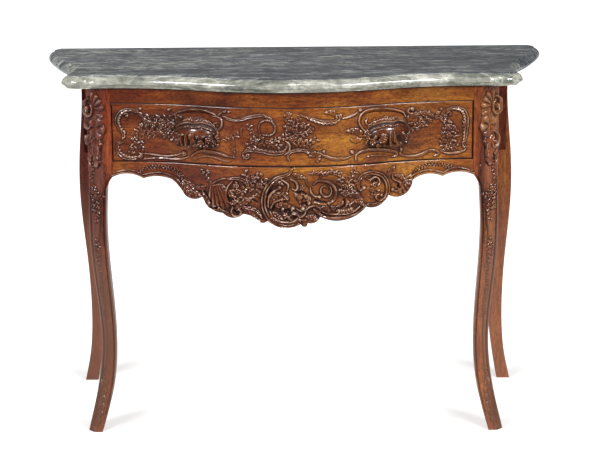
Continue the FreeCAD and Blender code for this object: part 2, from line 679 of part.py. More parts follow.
def tenon_pegs():
    """Pegs through the side board's tenons on the right, driven in from the side."""
    low = OPENING_LOW - SIDE_APRON_DROP
    plan = side_plan(0)
    pegs = []
    for z in (low + BOARD * 2, FRAME_TOP - BOARD):
        for x_out, y in (
            (POST_OUT, plan[0].y - TENON_LENGTH / 2),
            (BACK_OUT + BACK_HIP_KICK, plan[2].y + TENON_LENGTH / 2),
        ):
            pegs.append(rod(V(x_out - SIDE_BOARD * 2, y, z), V(1, 0, 0), PEG_RADIUS, SIDE_BOARD * 2))
    return pegs


# ---------------------------------------------------------------- assembly
def build():
    """Every piece of the table, by node name."""
    leg_front, leg_back = front_leg(), back_leg()
    rail, apron, board, rear = front_top_rail(), front_apron(), side_apron(), back_rail()
    pegs = [peg.common(leg) for peg, leg in zip(tenon_pegs(), [leg_front, leg_back] * 2)]
    peg_group = Part.makeCompound(pegs)
    board = board.cut(peg_group)
    leg_front = leg_front.cut(rail).cut(apron).cut(board).cut(peg_group)
    leg_back = leg_back.cut(rear).cut(board).cut(peg_group)

    front, side, left_side, back, panel = drawer_boards()
    screws = pull_screws()
    screw_group = Part.makeCompound(screws + [mirrored(s) for s in screws])
    nails = Part.makeCompound(bottom_nails())
    handle = pull().cut(screw_group)

    blocks = corner_blocks(board)
    stop = drawer_stop()
    run, guide, kick = runner(apron), drawer_guide(), kicker(rail)
    return {
        "marble_top": marble_top(),
        "front_left_leg": mirrored(leg_front),
        "front_right_leg": leg_front,
        "back_left_leg": mirrored(leg_back),
        "back_right_leg": leg_back,
        "front_top_rail": rail,
        "front_apron": apron,
        "left_side_apron": mirrored(board),
        "right_side_apron": board,
        "back_rail": rear,
        "drawer_front": front.cut(screw_group),
        "drawer_left_side": left_side,
        "drawer_right_side": side,
        "drawer_back": back.cut(nails),
        "drawer_bottom": panel.cut(nails),
        "left_pull": mirrored(handle),
        "right_pull": handle,
        "pull_screws": screw_group,
        "bottom_nails": nails,
        "left_runner": mirrored(run),
        "right_runner": run,
        "left_drawer_guide": mirrored(guide),
        "right_drawer_guide": guide,
        "left_kicker": mirrored(kick),
        "right_kicker": kick,
        "drawer_stops": Part.makeCompound([stop, mirrored(stop)]),
        "centre_bearer": centre_bearer(rail),
        "corner_blocks": Part.makeCompound(blocks + [mirrored(b) for b in blocks]),
        "tenon_pegs": Part.makeCompound(pegs + [mirrored(p) for p in pegs]),
    }


def main():
    os.makedirs("parts", exist_ok=True)
    for name, shape in build().items():
        print(f"{name}: {len(shape.Solids)} solid(s), valid {shape.isValid()}, {shape.Volume / 1000:.1f} cm3")
        shape.exportStep(f"parts/{name}.step")


main()
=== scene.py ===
"""Looks of the serpentine pier table: carved and waxed walnut, a veined marble slab, oak inside.

Sizes are millimetres and become metres when a mesh is made. X runs along the table, -Y faces the
viewer and Z is up. Carved faces are grids of places (x, z) whose heights over the board come from
the ornament laid on them.
"""
import math

import bmesh
import bpy
import numpy as np
from mathutils import Matrix, Vector


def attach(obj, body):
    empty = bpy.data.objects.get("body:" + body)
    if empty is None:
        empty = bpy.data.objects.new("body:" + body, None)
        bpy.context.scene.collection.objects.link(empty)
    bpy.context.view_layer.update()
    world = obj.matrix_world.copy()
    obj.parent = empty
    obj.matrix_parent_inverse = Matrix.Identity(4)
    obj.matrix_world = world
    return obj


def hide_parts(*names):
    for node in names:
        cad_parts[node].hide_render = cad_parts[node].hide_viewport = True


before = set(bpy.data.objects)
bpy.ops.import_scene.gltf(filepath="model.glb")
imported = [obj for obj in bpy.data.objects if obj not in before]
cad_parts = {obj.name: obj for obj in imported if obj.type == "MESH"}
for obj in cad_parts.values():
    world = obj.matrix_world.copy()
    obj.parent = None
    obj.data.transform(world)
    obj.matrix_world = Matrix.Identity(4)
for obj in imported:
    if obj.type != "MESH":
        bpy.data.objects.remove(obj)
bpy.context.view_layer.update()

# ---------------------------------------------------------------- sizes of the table
MM = 0.001                   # a millimetre in metres
MERGE_WITHIN = 0.002         # points nearer than this become one

TABLE_HEIGHT = 870.0
MARBLE_FRONT, MARBLE_BACK = -262.5, 262.5
BULGE = 82.0                 # how far the front swells out before its hollows
HOLLOW_X = 424.0             # deepest place of the hollow beside the swell
HOLLOW_Y = MARBLE_FRONT + BULGE
FRONT_RADIUS = (HOLLOW_X ** 2 + BULGE ** 2) / (4 * BULGE)
OVERHANG = 28.0              # of the marble over the boards
BOARD = 24.0                 # thickness of the drawer front and of the apron
FRAME_TOP = 840.0
OPENING_LOW = 663.0          # lower edge of the drawer's opening, upper edge of the apron
KNEE = 627.0                 # the front legs are straight posts above it
POST_IN, POST_OUT, POST_DEPTH = 422.0, 484.0, 58.0
POST_CANT = 42.0             # how much of a post's outer corner is cut away
DRAWER_LOW, DRAWER_TOP, DRAWER_HALF = 664.5, 801.5, 420.3
BACK_OUT, BACK_IN, BACK_FACE, FRAME_BACK = 536.0, 491.0, 205.5, 250.5


# ---------------------------------------------------------------- meshes
def make_piece(name, points, faces, material, body, stands_for, marks, crease=40.0):
    """A mesh object from points in millimetres and arrays of corner numbers.

    faces is a list of arrays, each with one face per row. marks are empty or two arrays with one
    number per point for the finish: painted light with dark wax and wear, below zero painted shade
    and dark wax in a recess or on an underside and above zero a painted highlight and wear on an
    edge, and how much of it is carved. Edges sharper than the crease, in degrees, show.
    """
    mesh = bpy.data.meshes.new(name)
    corners = np.concatenate([f.ravel() for f in faces])
    sizes = np.concatenate([np.full(len(f), f.shape[1]) for f in faces])
    mesh.vertices.add(len(points))
    mesh.vertices.foreach_set("co", (np.asarray(points, float) * MM).ravel())
    mesh.loops.add(len(corners))
    mesh.loops.foreach_set("vertex_index", corners.astype(np.int32))
    mesh.polygons.add(len(sizes))
    mesh.polygons.foreach_set("loop_start", (np.cumsum(sizes) - sizes).astype(np.int32))
    mesh.polygons.foreach_set("loop_total", sizes.astype(np.int32))
    mesh.update(calc_edges=True)
    for attribute_name, values in zip(("painted_light_and_wax", "carved_share"), marks):
        attribute = mesh.attributes.new(attribute_name, "FLOAT", "POINT")
        attribute.data.foreach_set("value", np.asarray(values, np.float32).ravel())
    cleaned = bmesh.new()
    cleaned.from_mesh(mesh)
    bmesh.ops.remove_doubles(cleaned, verts=cleaned.verts, dist=MERGE_WITHIN * MM)
    cleaned.to_mesh(mesh)
    cleaned.free()
    mesh.polygons.foreach_set("use_smooth", np.ones(len(mesh.polygons), bool))
    mesh.set_sharp_from_angle(angle=math.radians(crease))
    mesh.materials.append(material)
    piece = bpy.data.objects.new(name, mesh)
    bpy.context.scene.collection.objects.link(piece)
    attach(piece, body)
    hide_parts(*stands_for)


def grid_faces(rows, columns, round_rows=False, round_columns=False):
    """Four-sided faces over a grid of points, closed on itself along rows or columns if asked."""
    i, j = np.meshgrid(
        np.arange(rows if round_rows else rows - 1),
        np.arange(columns if round_columns else columns - 1),
        indexing="ij",
    )
    below, beside = (i + 1) % rows, (j + 1) % columns
    quads = [i * columns + j, i * columns + beside, below * columns + beside, below * columns + j]
    return np.stack(quads, axis=-1).reshape(-1, 4)


# ---------------------------------------------------------------- lines
def bell(distance, reach):
    """One at no distance, a third at the reach and next to nothing at twice the reach."""
    return np.exp(-(distance / reach) ** 2)


def serpentine(x, inset):
    """Front of the rails in plan, at a distance behind the marble's edge: y, normal x and normal y.

    One arc swells forward in the middle and one hollows back on each side. They have one radius
    and meet where they run the same way.
    """
    side = np.where(x < 0, -1.0, 1.0)
    a = np.abs(x)
    swell_radius, hollow_radius = FRONT_RADIUS - inset, FRONT_RADIUS + inset
    on_swell = a <= HOLLOW_X / 2 * swell_radius / FRONT_RADIUS
    swell = MARBLE_FRONT + FRONT_RADIUS - np.sqrt(np.maximum(swell_radius ** 2 - a ** 2, 0))
    hollow = HOLLOW_Y - FRONT_RADIUS + np.sqrt(hollow_radius ** 2 - (a - HOLLOW_X) ** 2)
    normal_x = np.where(on_swell, a / swell_radius, (HOLLOW_X - a) / hollow_radius)
    return np.where(on_swell, swell, hollow), side * normal_x, -np.sqrt(1 - normal_x ** 2)


def smooth(points, step=1.6):
    """A curve through the points: between two of them it is the cubic that leaves each along the
    line between its neighbours."""
    p = np.array(points, float)
    ends = np.vstack([2 * p[0] - p[1], p, 2 * p[-1] - p[-2]])
    spans = []
    for a, b, c, d in zip(ends, ends[1:], ends[2:], ends[3:]):
        count = max(2, math.ceil(math.dist(b, c) / step))
        t = np.linspace(0, 1, count, endpoint=False)[:, None]
        cubic = 2 * b + (c - a) * t + (2 * a - 5 * b + 4 * c - d) * t ** 2 + (3 * b - a - 3 * c + d) * t ** 3
        spans.append(cubic / 2)
    return np.vstack(spans + [p[-1:]])


def spiral(x, z, radius, start, turns):
    """Points of a volute: it winds in from the radius to a fifth of it. Angles are in degrees."""
    t = np.linspace(0, 1, max(5, round(abs(turns) * 9)))
    angle = np.radians(start + 360 * turns * t)
    r = radius * (1 - 0.8 * t ** 0.8)
    return tuple(zip(x + r * np.cos(angle), z + r * np.sin(angle)))


def nearest(path, x, z):
    """For places (x, z): distance to the path, side of it, share of its length, and that length."""
    start, step = path[:-1], np.diff(path, axis=0)
    squared = (step ** 2).sum(1)
    dx, dz = x[:, None] - start[:, 0], z[:, None] - start[:, 1]
    t = np.clip((dx * step[:, 0] + dz * step[:, 1]) / squared, 0, 1)
    off_x, off_z = dx - t * step[:, 0], dz - t * step[:, 1]
    distance = off_x ** 2 + off_z ** 2
    k = distance.argmin(1)
    place = np.arange(len(k))
    run = np.concatenate([[0], np.cumsum(np.sqrt(squared))])
    along = (run[k] + t[place, k] * np.sqrt(squared[k])) / run[-1]
    side = np.sign(step[k, 0] * off_z[place, k] - step[k, 1] * off_x[place, k])
    return np.sqrt(distance[place, k]), side, along, run[-1]


def blurred(field, reach):
    """Mean of a grid over a square window, run twice so that the window has soft edges."""
    for axis in (0, 1, 0, 1):
        padding = [(0, 0), (0, 0)]
        padding[axis] = (reach + 1, reach)
        summed = np.cumsum(np.pad(field, padding, mode="edge"), axis=axis)
        high = np.take(summed, np.arange(2 * reach + 1, summed.shape[axis]), axis=axis)
        low = np.take(summed, np.arange(0, summed.shape[axis] - 2 * reach - 1), axis=axis)
        field = (high - low) / (2 * reach + 1)
    return field


# ---------------------------------------------------------------- carving
class Carving:
    """Heights of carved ornament over its ground, at every place (x, z) of a grid."""

    CUT, CUT_REACH = 0.8, 1.2    # the ground is cut down by this much right beside a form
    MARGIN = 4.0                 # a form changes nothing farther than this outside its edge
    FRILL_PITCH = 8.5            # from one lobe of a frilled scroll to the next
    PETALS = 5
    STRUCK = 0.22                # share of the ground's places that the punch meets
    FORM = 0.8                   # what stands higher than this is a form, the rest is ground
    DEEPEST_MARK = 1.5

    def __init__(self, x, z):
        self.shape = x.shape
        self.x, self.z = x.ravel(), z.ravel()
        self.height = np.zeros(self.x.size)

    def around(self, points, reach):
        """Numbers of the places in the box round the points, widened by the reach."""
        low, high = points.min(0) - reach, points.max(0) + reach
        inside = (self.x > low[0]) & (self.x < high[0]) & (self.z > low[1]) & (self.z < high[1])
        return np.flatnonzero(inside)

    def lay(self, where, outside, form, rides=0.3):
        """Puts a form on the board: it stands on a share of what lies under it, and the wood
        beside its edge is cut down by a bell-shaped groove."""
        old = self.height[where]
        groove = self.CUT * bell(outside, self.CUT_REACH)
        self.height[where] = np.where(outside < 0, form + rides * old, old - groove)

    def scroll(self, points, half_width, height, start=0.35, end=0.35, section="round", rides=0.3):
        """A carved band along a curve. Its half width swells from a share at the start to the whole
        in the middle and to a share at the end. A round one is a bead, a double one has two rims
        with a hollow between, and a crested one rises to the left of its way and slopes right. A
        frilled one is double and has leafy lobes on its left or right side."""
        path = smooth(points)
        where = self.around(path, 2 * half_width + self.MARGIN)
        distance, side, along, length = nearest(path, self.x[where], self.z[where])
        shares = np.interp(along, (0, 0.4, 0.65, 1), (start, 1, 1, end))
        width = half_width * shares
        if section.startswith("frill"):
            lobes = max(2, round(length / self.FRILL_PITCH))
            comb = np.abs(np.sin(np.pi * lobes * along - 0.5 * distance / half_width))
            frilled_side = 1.0 if section == "frill_left" else -1.0
            width = width * np.where(side == frilled_side, 0.9 + 1.1 * comb ** 0.6, 0.75)
        q = np.clip(distance / width, 0, 1)
        if section == "round":
            profile = (1 - q ** 1.6) ** 0.85
        elif section == "crested":
            profile = (1 - q ** 6) ** 0.5 * (0.58 + 0.42 * side * q)
        else:
            profile = (1 - q ** 8) ** 0.5 * (1 - 0.7 * bell(q, 0.4))
        self.lay(where, distance - width, height * (0.55 + 0.45 * shares) * profile, rides)

    def volute(self, x, z, radius, start, turns):
        """A spiral end: a narrowing band that winds in on a button a little higher than itself."""
        self.scroll(spiral(x, z, radius, start, turns), radius * 0.34, 4.0, 0.9, 0.55, rides=0.15)
        self.pearl(x, z, radius * 0.36, 4.8)

    def pearl(self, x, z, radius, height=None):
        """A half ball on the board."""
        height = height or radius
        where = self.around(np.array([[x, z]]), radius + self.MARGIN)
        r = np.hypot(self.x[where] - x, self.z[where] - z)
        self.lay(where, r - radius, height * np.sqrt(np.clip(1 - (r / radius) ** 2, 0, 1)) + 0.5, 0.2)

    def leaf(self, points, half_width, height, lobes):
        """An acanthus leaf along its rib. The half width swells along the rib and is notched into
        lobes that lean to the tip. Between a raised rib and raised edges each lobe is hollow, and
        a crease runs in from each notch."""
        path = smooth(points)
        where = self.around(path, half_width + self.MARGIN)
        distance, side, along, length = nearest(path, self.x[where], self.z[where])
        lean = np.clip(along - 0.5 * distance / length, 0, 1)
        swell = np.sin(np.pi * np.clip(along, 0.03, 0.97) ** 0.8) ** 0.6
        comb = np.abs(np.sin(np.pi * lobes * lean + 0.35 * side))
        width = half_width * swell * (0.5 + 0.5 * comb ** 0.5)
        q = np.clip(distance / width, 0, 1)
        hollow = 0.45 + 0.55 * np.maximum(q ** 1.5, bell(distance, 1.0))
        form = height * (0.6 + 0.4 * along) * hollow * (1 - q ** 7) ** 0.5 * (0.4 + 0.6 * comb ** 0.7)
        self.lay(where, distance - width, form)

    def plate(self, points, half_width, height, lobes):
        """A broad smooth blade along its rib, whose edge is notched into lobes that lean to its tip."""
        path = smooth(points)
        where = self.around(path, half_width + self.MARGIN)
        distance, side, along, length = nearest(path, self.x[where], self.z[where])
        swell = np.sin(np.pi * np.clip(along, 0.04, 0.96)) ** 0.35
        comb = np.abs(np.sin(np.pi * lobes * np.clip(along - 0.4 * distance / length, 0, 1) + 0.5 * side))
        width = half_width * swell * (0.84 + 0.16 * comb ** 0.7)
        q = np.clip(distance / width, 0, 1)
        rim = 0.25 * bell(q - 0.86, 0.09) * (0.3 + 0.7 * comb)
        crease = 0.25 * q ** 3 * (1 - comb ** 0.8)
        form = height * (1 - q ** 8) ** 0.5 * (0.55 + 0.15 * along + 0.12 * (1 - q ** 2) + rim - crease)
        self.lay(where, distance - width, form)

    def flower(self, x, z, radius, height, turn):
        """An open flower: cupped petals with raised rims and deep creases between, round a button.
        It leans to its turn, in degrees, so that one side stands higher."""
        where = self.around(np.array([[x, z]]), radius + self.MARGIN)
        dx, dz = self.x[where] - x, self.z[where] - z
        r, angle = np.hypot(dx, dz), np.arctan2(dz, dx) - math.radians(turn)
        lobe = np.abs(np.cos(self.PETALS * angle / 2))
        edge = radius * (0.62 + 0.38 * lobe ** 0.6)
        q = np.clip(r / edge, 0, 1)
        petal = (1 - q ** 6) ** 0.5 * (0.12 + 0.88 * q ** 1.4) * (1 - 0.75 * (1 - lobe) ** 2)
        petal *= 1 + 0.25 * np.cos(angle) * q
        heart = np.sqrt(np.clip(1 - (r / (0.27 * radius)) ** 2, 0, 1))
        self.lay(where, r - edge, height * np.maximum(petal, 0.8 * heart), 0.25)

    def curl(self, x, z, radius, start, height):
        """A small rolled leaf end: one turn of a crested band round a dark eye."""
        self.scroll(spiral(x, z, radius, start, 0.9), radius * 0.42, height, 0.5, 0.9, "crested", 0.15)

    def spray(self, points, size, height, seed):
        """A leafy stem: leaves spring from it to both sides in turn, each about the size long with
        its tip bent back, and every third one is an open flower. The seed settles their turns."""
        chance = np.random.default_rng(seed)
        path = smooth(points)
        run = np.concatenate([[0], np.cumsum(np.hypot(*np.diff(path, axis=0).T))])
        self.scroll(points, 1.3, 0.6 * height, 0.8, 0.5)
        for k, place in enumerate(np.arange(0.4 * size, run[-1], 0.62 * size)):
            x, z = (np.interp(place, run, path[:, i]) for i in (0, 1))
            on_x, on_z = (np.interp(place + 1, run, path[:, i]) for i in (0, 1))
            side = 1 if k % 2 else -1
            lean = math.atan2(on_z - z, on_x - x) + side * chance.uniform(0.5, 1.1)
            bent = lean + side * chance.uniform(-0.2, 0.8)
            reach = size * chance.uniform(0.8, 1.25)
            tall = height * chance.uniform(0.8, 1.2)
            middle = (x + 0.5 * reach * math.cos(lean), z + 0.5 * reach * math.sin(lean))
            tip = (middle[0] + 0.55 * reach * math.cos(bent), middle[1] + 0.55 * reach * math.sin(bent))
            if k % 3 == 2:
                self.flower(*middle, 0.44 * size, tall, 60 * k)
            else:
                self.leaf(((x, z), middle, tip), 0.36 * size, tall, 3)

    def shell(self, x, z, inner, outer, low, high, flutes, height):
        """A fan of flutes round a point, between two radii and two angles in degrees. Its rim is
        scalloped and the flutes are rounded with sharp creases between."""
        where = self.around(np.array([[x, z]]), outer + self.MARGIN)
        dx, dz = self.x[where] - x, self.z[where] - z
        r = np.hypot(dx, dz)
        middle, half = math.radians(low + high) / 2, math.radians(high - low) / 2
        angle = (np.arctan2(dz, dx) - middle + np.pi) % (2 * np.pi) - np.pi
        share = (angle / half + 1) / 2
        bump = np.abs(np.sin(np.pi * flutes * np.clip(share, 0, 1)))
        rim = outer * (0.86 + 0.14 * bump ** 0.6)
        beyond = np.maximum(np.maximum(r - rim, inner - r), (np.abs(angle) - half) * r)
        across = np.clip((r - inner) / (rim - inner), 0, 1)
        form = height * (0.15 + 0.85 * bump ** 0.8) * (0.4 + 0.6 * across) * (1 - across ** 8) ** 0.5
        self.lay(where, beyond, form, 0.2)

    def reeds(self, points, half_width, height, count):
        """A row of rounded lobes side by side along a curve."""
        path = smooth(points)
        where = self.around(path, half_width + self.MARGIN)
        distance, _, along, _ = nearest(path, self.x[where], self.z[where])
        bump = np.abs(np.sin(np.pi * count * (along + 0.015 * np.sin(31 * along))))
        width = half_width * (0.7 + 0.3 * bump)
        q = np.clip(distance / width, 0, 1)
        self.lay(where, distance - width, height * (1 - q ** 4) ** 0.5 * (0.4 + 0.6 * bump ** 0.7), 0.2)

    def groove(self, points, half_width, depth):
        """A cut line with a bell-shaped section."""
        path = smooth(points)
        where = self.around(path, 3 * half_width)
        distance = nearest(path, self.x[where], self.z[where])[0]
        self.height[where] -= depth * bell(distance, half_width)

    def stipple(self, x, z, reach, depth, seed):
        """Ground struck all over with a small punch, fading out from a place. The seed settles it."""
        chance = np.random.default_rng(seed)
        struck = chance.random(self.x.size) < self.STRUCK
        fade = np.exp(-((self.x - x) ** 2 + 2.2 * (self.z - z) ** 2) / reach ** 2)
        self.height -= np.where(struck & (self.height < 0.5), depth * fade, 0)

    def relief(self, deepest=1.8):
        """The heights as a grid, with their steps softened by one pass of a small bell."""
        h = np.maximum(self.height, -deepest).reshape(self.shape)
        for axis in (0, 1):
            h = (np.roll(h, 1, axis) + 4 * h + np.roll(h, -1, axis)) / 6
        return h

    def painted_light_and_wax_marks(self, h, cell, upward=1):
        """Painted light with dark wax and wear: how much higher or lower each place lies than the
        mean of the wood around it, one and five rows off, higher places getting a painted highlight
        and lower ones painted shade with dark wax. High places gain a little. Undersides lose, as
        painted shade, and upward slopes gain, as a painted highlight. The ground between crowded
        forms loses too, painted shade with some dark wax. cell is the distance between rows, and
        upward is 1 where they run upwards and -1 where they run downwards."""
        near, far = h - blurred(h, 1), h - blurred(h, 5)
        crowding = blurred((h > self.FORM).astype(float), 14)
        # painted shade, with some dark wax, on the ground between crowded forms
        crowding_shade = np.where(h > self.FORM, 0, 2.0 * np.clip(crowding - 0.28, 0, 0.6))
        # upward slopes get a painted highlight, downward ones painted shade
        lean = np.clip(upward * np.gradient(h, cell, axis=0), -1, 1)
        # higher places get a painted highlight with wear, lower ones painted shade with dark wax
        raised = 0.8 * np.maximum(near, 0) + 0.28 * np.maximum(far, 0) + 0.03 * np.maximum(h, 0)
        sunk = 1.8 * np.minimum(near, 0) + 0.12 * np.minimum(far, 0)
        return np.clip(raised + sunk - crowding_shade - 0.6 * lean, -self.DEEPEST_MARK, self.DEEPEST_MARK)

    def carved_share(self, h):
        """One where the wood is carved and nought on plain ground, with soft borders."""
        return blurred((np.abs(h) > 0.7).astype(float), 2)


def lifted(points, low):
    """Points with heights over a lower edge, as places on the board."""
    return tuple((x, low + z) for x, z in points)


# ---------------------------------------------------------------- ornament of the drawer
# Heights are over the drawer's lower edge. Scrolls: half width, height, share of the width at the
# start and at the end, section, points.
DRAWER_SCROLLS = (
    # frame in the left corner
    (4.6, 4.2, 0.6, 0.7, "frill_left", ((-358, 118), (-372, 123), (-389, 122), (-404, 112), (-410, 95),
        (-404, 77), (-395, 66), (-396, 56))),
    (4.2, 4.0, 0.5, 0.7, "frill_left", ((-396, 46), (-407, 43), (-411, 32), (-405, 17), (-393, 8),
        (-376, 5), (-363, 8))),
    (3.4, 3.2, 0.7, 0.5, "round", ((-358, 19), (-335, 18), (-301, 14), (-272, 17), (-256, 23))),
    (2.6, 2.6, 0.4, 0.4, "round", ((-350, 5), (-315, 9), (-284, 8), (-258, 9), (-242, 15), (-237, 22))),
    (4.6, 5.0, 0.5, 0.4, "crested", ((-233, 17), (-223, 25), (-208, 31), (-194, 30), (-176, 28),
        (-152, 22), (-135, 20))),
    (2.2, 2.4, 0.4, 0.4, "round", ((-226, 10), (-208, 18), (-188, 19), (-165, 13), (-146, 9))),
    # over the left pull
    (4.4, 5.0, 0.4, 0.5, "crested", ((-279, 110), (-269, 116), (-246, 123), (-223, 126), (-200, 125),
        (-180, 119), (-171, 112))),
    (3.6, 4.6, 0.5, 0.5, "round", ((-182, 115), (-169, 113), (-161, 104), (-162, 91), (-171, 83),
        (-181, 87), (-180, 96), (-174, 99))),
    (2.6, 3.2, 0.5, 0.4, "round", ((-171, 114), (-165, 120), (-158, 127))),
    (4.0, 4.4, 0.5, 0.3, "double", ((-159, 116), (-144, 109), (-121, 108), (-99, 115), (-71, 120),
        (-52, 114), (-39, 99))),
    # low in the middle
    (4.0, 4.4, 0.6, 0.4, "frill_left", ((-112, 24), (-107, 34), (-92, 38), (-72, 36), (-44, 31),
        (-22, 33), (-11, 43), (-8, 58))),
    (3.4, 4.2, 0.5, 0.6, "round", ((-15, 61), (-6, 54), (-6, 39), (-16, 29))),
    (3.8, 4.4, 0.5, 0.6, "double", ((-6, 16), (-10, 26), (-1, 36), (18, 40), (37, 35), (50, 24))),
    (4.2, 4.4, 0.6, 0.4, "crested", ((60, 33), (73, 25), (95, 17), (121, 16), (136, 21))),
    # ring of the basket
    (3.0, 3.6, 0.6, 0.6, "round", ((-74, 80), (-76, 92), (-71, 103), (-59, 109), (-45, 104), (-38, 93),
        (-40, 81), (-52, 74), (-66, 75))),
    # top right of the middle
    (4.2, 4.6, 0.4, 0.5, "frill_right", ((25, 120), (45, 113), (70, 105), (93, 104), (107, 110),
        (112, 119))),
    (3.0, 3.2, 0.4, 0.5, "round", ((116, 110), (128, 112), (143, 117), (152, 124))),
    # under the right pull
    (4.4, 4.8, 0.5, 0.6, "crested", ((147, 11), (148, 22), (160, 30), (180, 33), (206, 31), (230, 26),
        (240, 22), (240, 15), (231, 14))),
    (4.2, 4.8, 0.6, 0.6, "crested", ((254, 27), (249, 19), (262, 12), (282, 10), (302, 14), (321, 22),
        (336, 20), (340, 12), (332, 9))),
    (2.2, 2.4, 0.5, 0.4, "round", ((166, 16), (190, 19), (214, 17), (228, 12))),
    # over the right pull
    (4.4, 5.0, 0.5, 0.5, "crested", ((168, 78), (160, 88), (155, 101), (160, 116), (176, 125),
        (206, 126), (235, 122), (255, 115), (262, 105))),
    (2.8, 3.6, 0.6, 0.4, "round", ((186, 92), (177, 90), (170, 98), (174, 107))),
    (4.0, 4.6, 0.6, 0.4, "crested", ((272, 124), (266, 117), (272, 110), (284, 107), (298, 110),
        (308, 106))),
    # frame in the right corner
    (4.6, 4.8, 0.5, 0.6, "frill_right", ((358, 108), (363, 118), (376, 122), (394, 118), (404, 107),
        (407, 88), (405, 64), (403, 46), (399, 35))),
    (2.4, 2.8, 0.5, 0.4, "round", ((395, 91), (400, 81), (395, 75))),
    (3.2, 3.0, 0.4, 0.4, "round", ((344, 20), (361, 14), (381, 14), (400, 19), (407, 28))),
)
# Leafy stems: size of a leaf, height, points.
DRAWER_SPRAYS = (
    # left field
    (11, 4.6, ((-262, 98), (-290, 103), (-322, 101), (-350, 106))),
    (12, 5.0, ((-262, 84), (-290, 89), (-320, 86), (-350, 91))),
    (11, 4.6, ((-264, 72), (-292, 74), (-322, 72), (-356, 76))),
    (10, 4.2, ((-270, 62), (-300, 64), (-334, 62))),
    (9, 3.8, ((-356, 74), (-367, 62), (-371, 46), (-370, 30))),
    (8, 3.6, ((-344, 66), (-352, 52), (-356, 38), (-346, 25))),
    (8, 3.4, ((-372, 34), (-380, 26), (-374, 17))),
    # between the left pull and the middle
    (8, 3.4, ((-160, 60), (-144, 66), (-128, 70), (-117, 79))),
    # middle
    (9, 4.0, ((-106, 40), (-98, 54), (-86, 64), (-70, 68))),
    (9, 4.2, ((-92, 48), (-68, 54), (-48, 52), (-28, 47))),
    (9, 4.0, ((-60, 62), (-40, 60), (-24, 66), (-14, 76))),
    (8, 3.8, ((-84, 74), (-95, 84), (-97, 98))),
    (9, 4.4, ((-16, 62), (-9, 78), (-12, 94), (-8, 112))),
    (9, 4.4, ((-4, 72), (14, 76), (32, 78), (52, 86))),
    (9, 4.0, ((-2, 58), (16, 62), (36, 58), (58, 64))),
    (9, 4.2, ((-6, 88), (10, 96), (26, 98), (42, 94))),
    (8, 4.0, ((4, 98), (0, 110), (-14, 124))),
    (8, 3.8, ((10, 98), (16, 110), (20, 124))),
    (7, 3.4, ((6, 52), (24, 50), (44, 48))),
    # right field
    (11, 5.0, ((266, 86), (282, 98), (300, 104), (322, 107))),
    (12, 5.2, ((266, 92), (290, 91), (312, 97), (336, 104), (354, 97), (366, 84))),
    (11, 5.0, ((270, 78), (290, 78), (306, 86))),
    (9, 4.4, ((342, 28), (350, 42), (351, 58), (358, 76))),
    (9, 4.4, ((352, 30), (369, 38), (379, 52), (383, 72))),
    (9, 4.2, ((362, 50), (368, 62), (372, 78))),
    (8, 3.8, ((346, 22), (366, 26), (386, 30))),
)
# Leaves: half width, height, lobes, points from the root to the tip.
DRAWER_LEAVES = (
    (8, 4.4, 4, ((-268, 92), (-262, 104), (-272, 114))),
    (7, 4.4, 4, ((-262, 74), (-268, 60), (-284, 52))),
    (6, 3.6, 4, ((-134, 60), (-137, 44), (-131, 28))),
    (6, 3.4, 3, ((104, 117), (92, 125), (74, 125))),
    (8, 4.6, 4, ((164, 66), (148, 79), (124, 81))),
    (6, 4.0, 3, ((160, 60), (146, 56), (133, 62))),
    (9, 5.0, 4, ((268, 94), (280, 106), (300, 110))),
    (6, 4.0, 4, ((292, 112), (312, 110), (330, 101))),
)
# Flowers: x, height over the edge, radius, height, turn in degrees.
DRAWER_FLOWERS = (
    (-324, 88, 8, 5.6, 40), (-302, 93, 9, 6.0, 0), (-281, 88, 10, 6.4, 25), (-311, 72, 7, 5.0, 50),
    (-290, 73, 8, 5.4, 0), (-340, 95, 6, 4.6, 10), (-82, 60, 7, 4.6, 30), (-50, 55, 7, 4.6, 20),
    (-7, 122, 7, 4.8, 0), (-8, 90, 7, 4.8, 20), (8, 84, 7, 4.8, 50), (40, 84, 6, 4.2, 30),
    (0, 67, 7, 4.6, 0), (20, 62, 6, 4.4, 25), (361, 76, 7, 5.0, 0), (379, 70, 6, 4.4, 40),
    (364, 56, 7, 5.0, 20), (354, 43, 6, 4.6, 30), (300, 86, 8, 5.4, 15), (284, 91, 8, 5.6, 50),
)
# Ground struck with the punch: x, height over the edge, reach.
DRAWER_PUNCHED = ((104, 68, 34), (66, 44, 18), (-120, 60, 18), (60, 92, 18))
# Pearls: x, height over the edge, radius.
DRAWER_PEARLS = (
    (-353, 125, 4.0), (-285, 124, 4.6), (-154, 126, 4.0), (-144, 126, 3.6), (-252, 24, 4.2),
    (73, 35, 4.0), (138, 31, 5.0), (157, 128, 4.6), (278, 122, 5.2), (345, 119, 4.0), (252, 29, 4.4),
    (-357, 12, 4.2), (-396, 54, 3.0),
)
# Volutes: x, height over the edge, radius, start in degrees, turns.
DRAWER_VOLUTES = (
    (-357, 12, 7, 90, -1.2), (-104, 25, 8, 180, 1.2), (-251, 23, 6, 200, 1.1), (399, 31, 6, 60, -1.1),
    (-386, 108, 6, 140, -1.0), (366, 106, 6, 150, -1.0), (104, 113, 6, 0, 1.0),
)


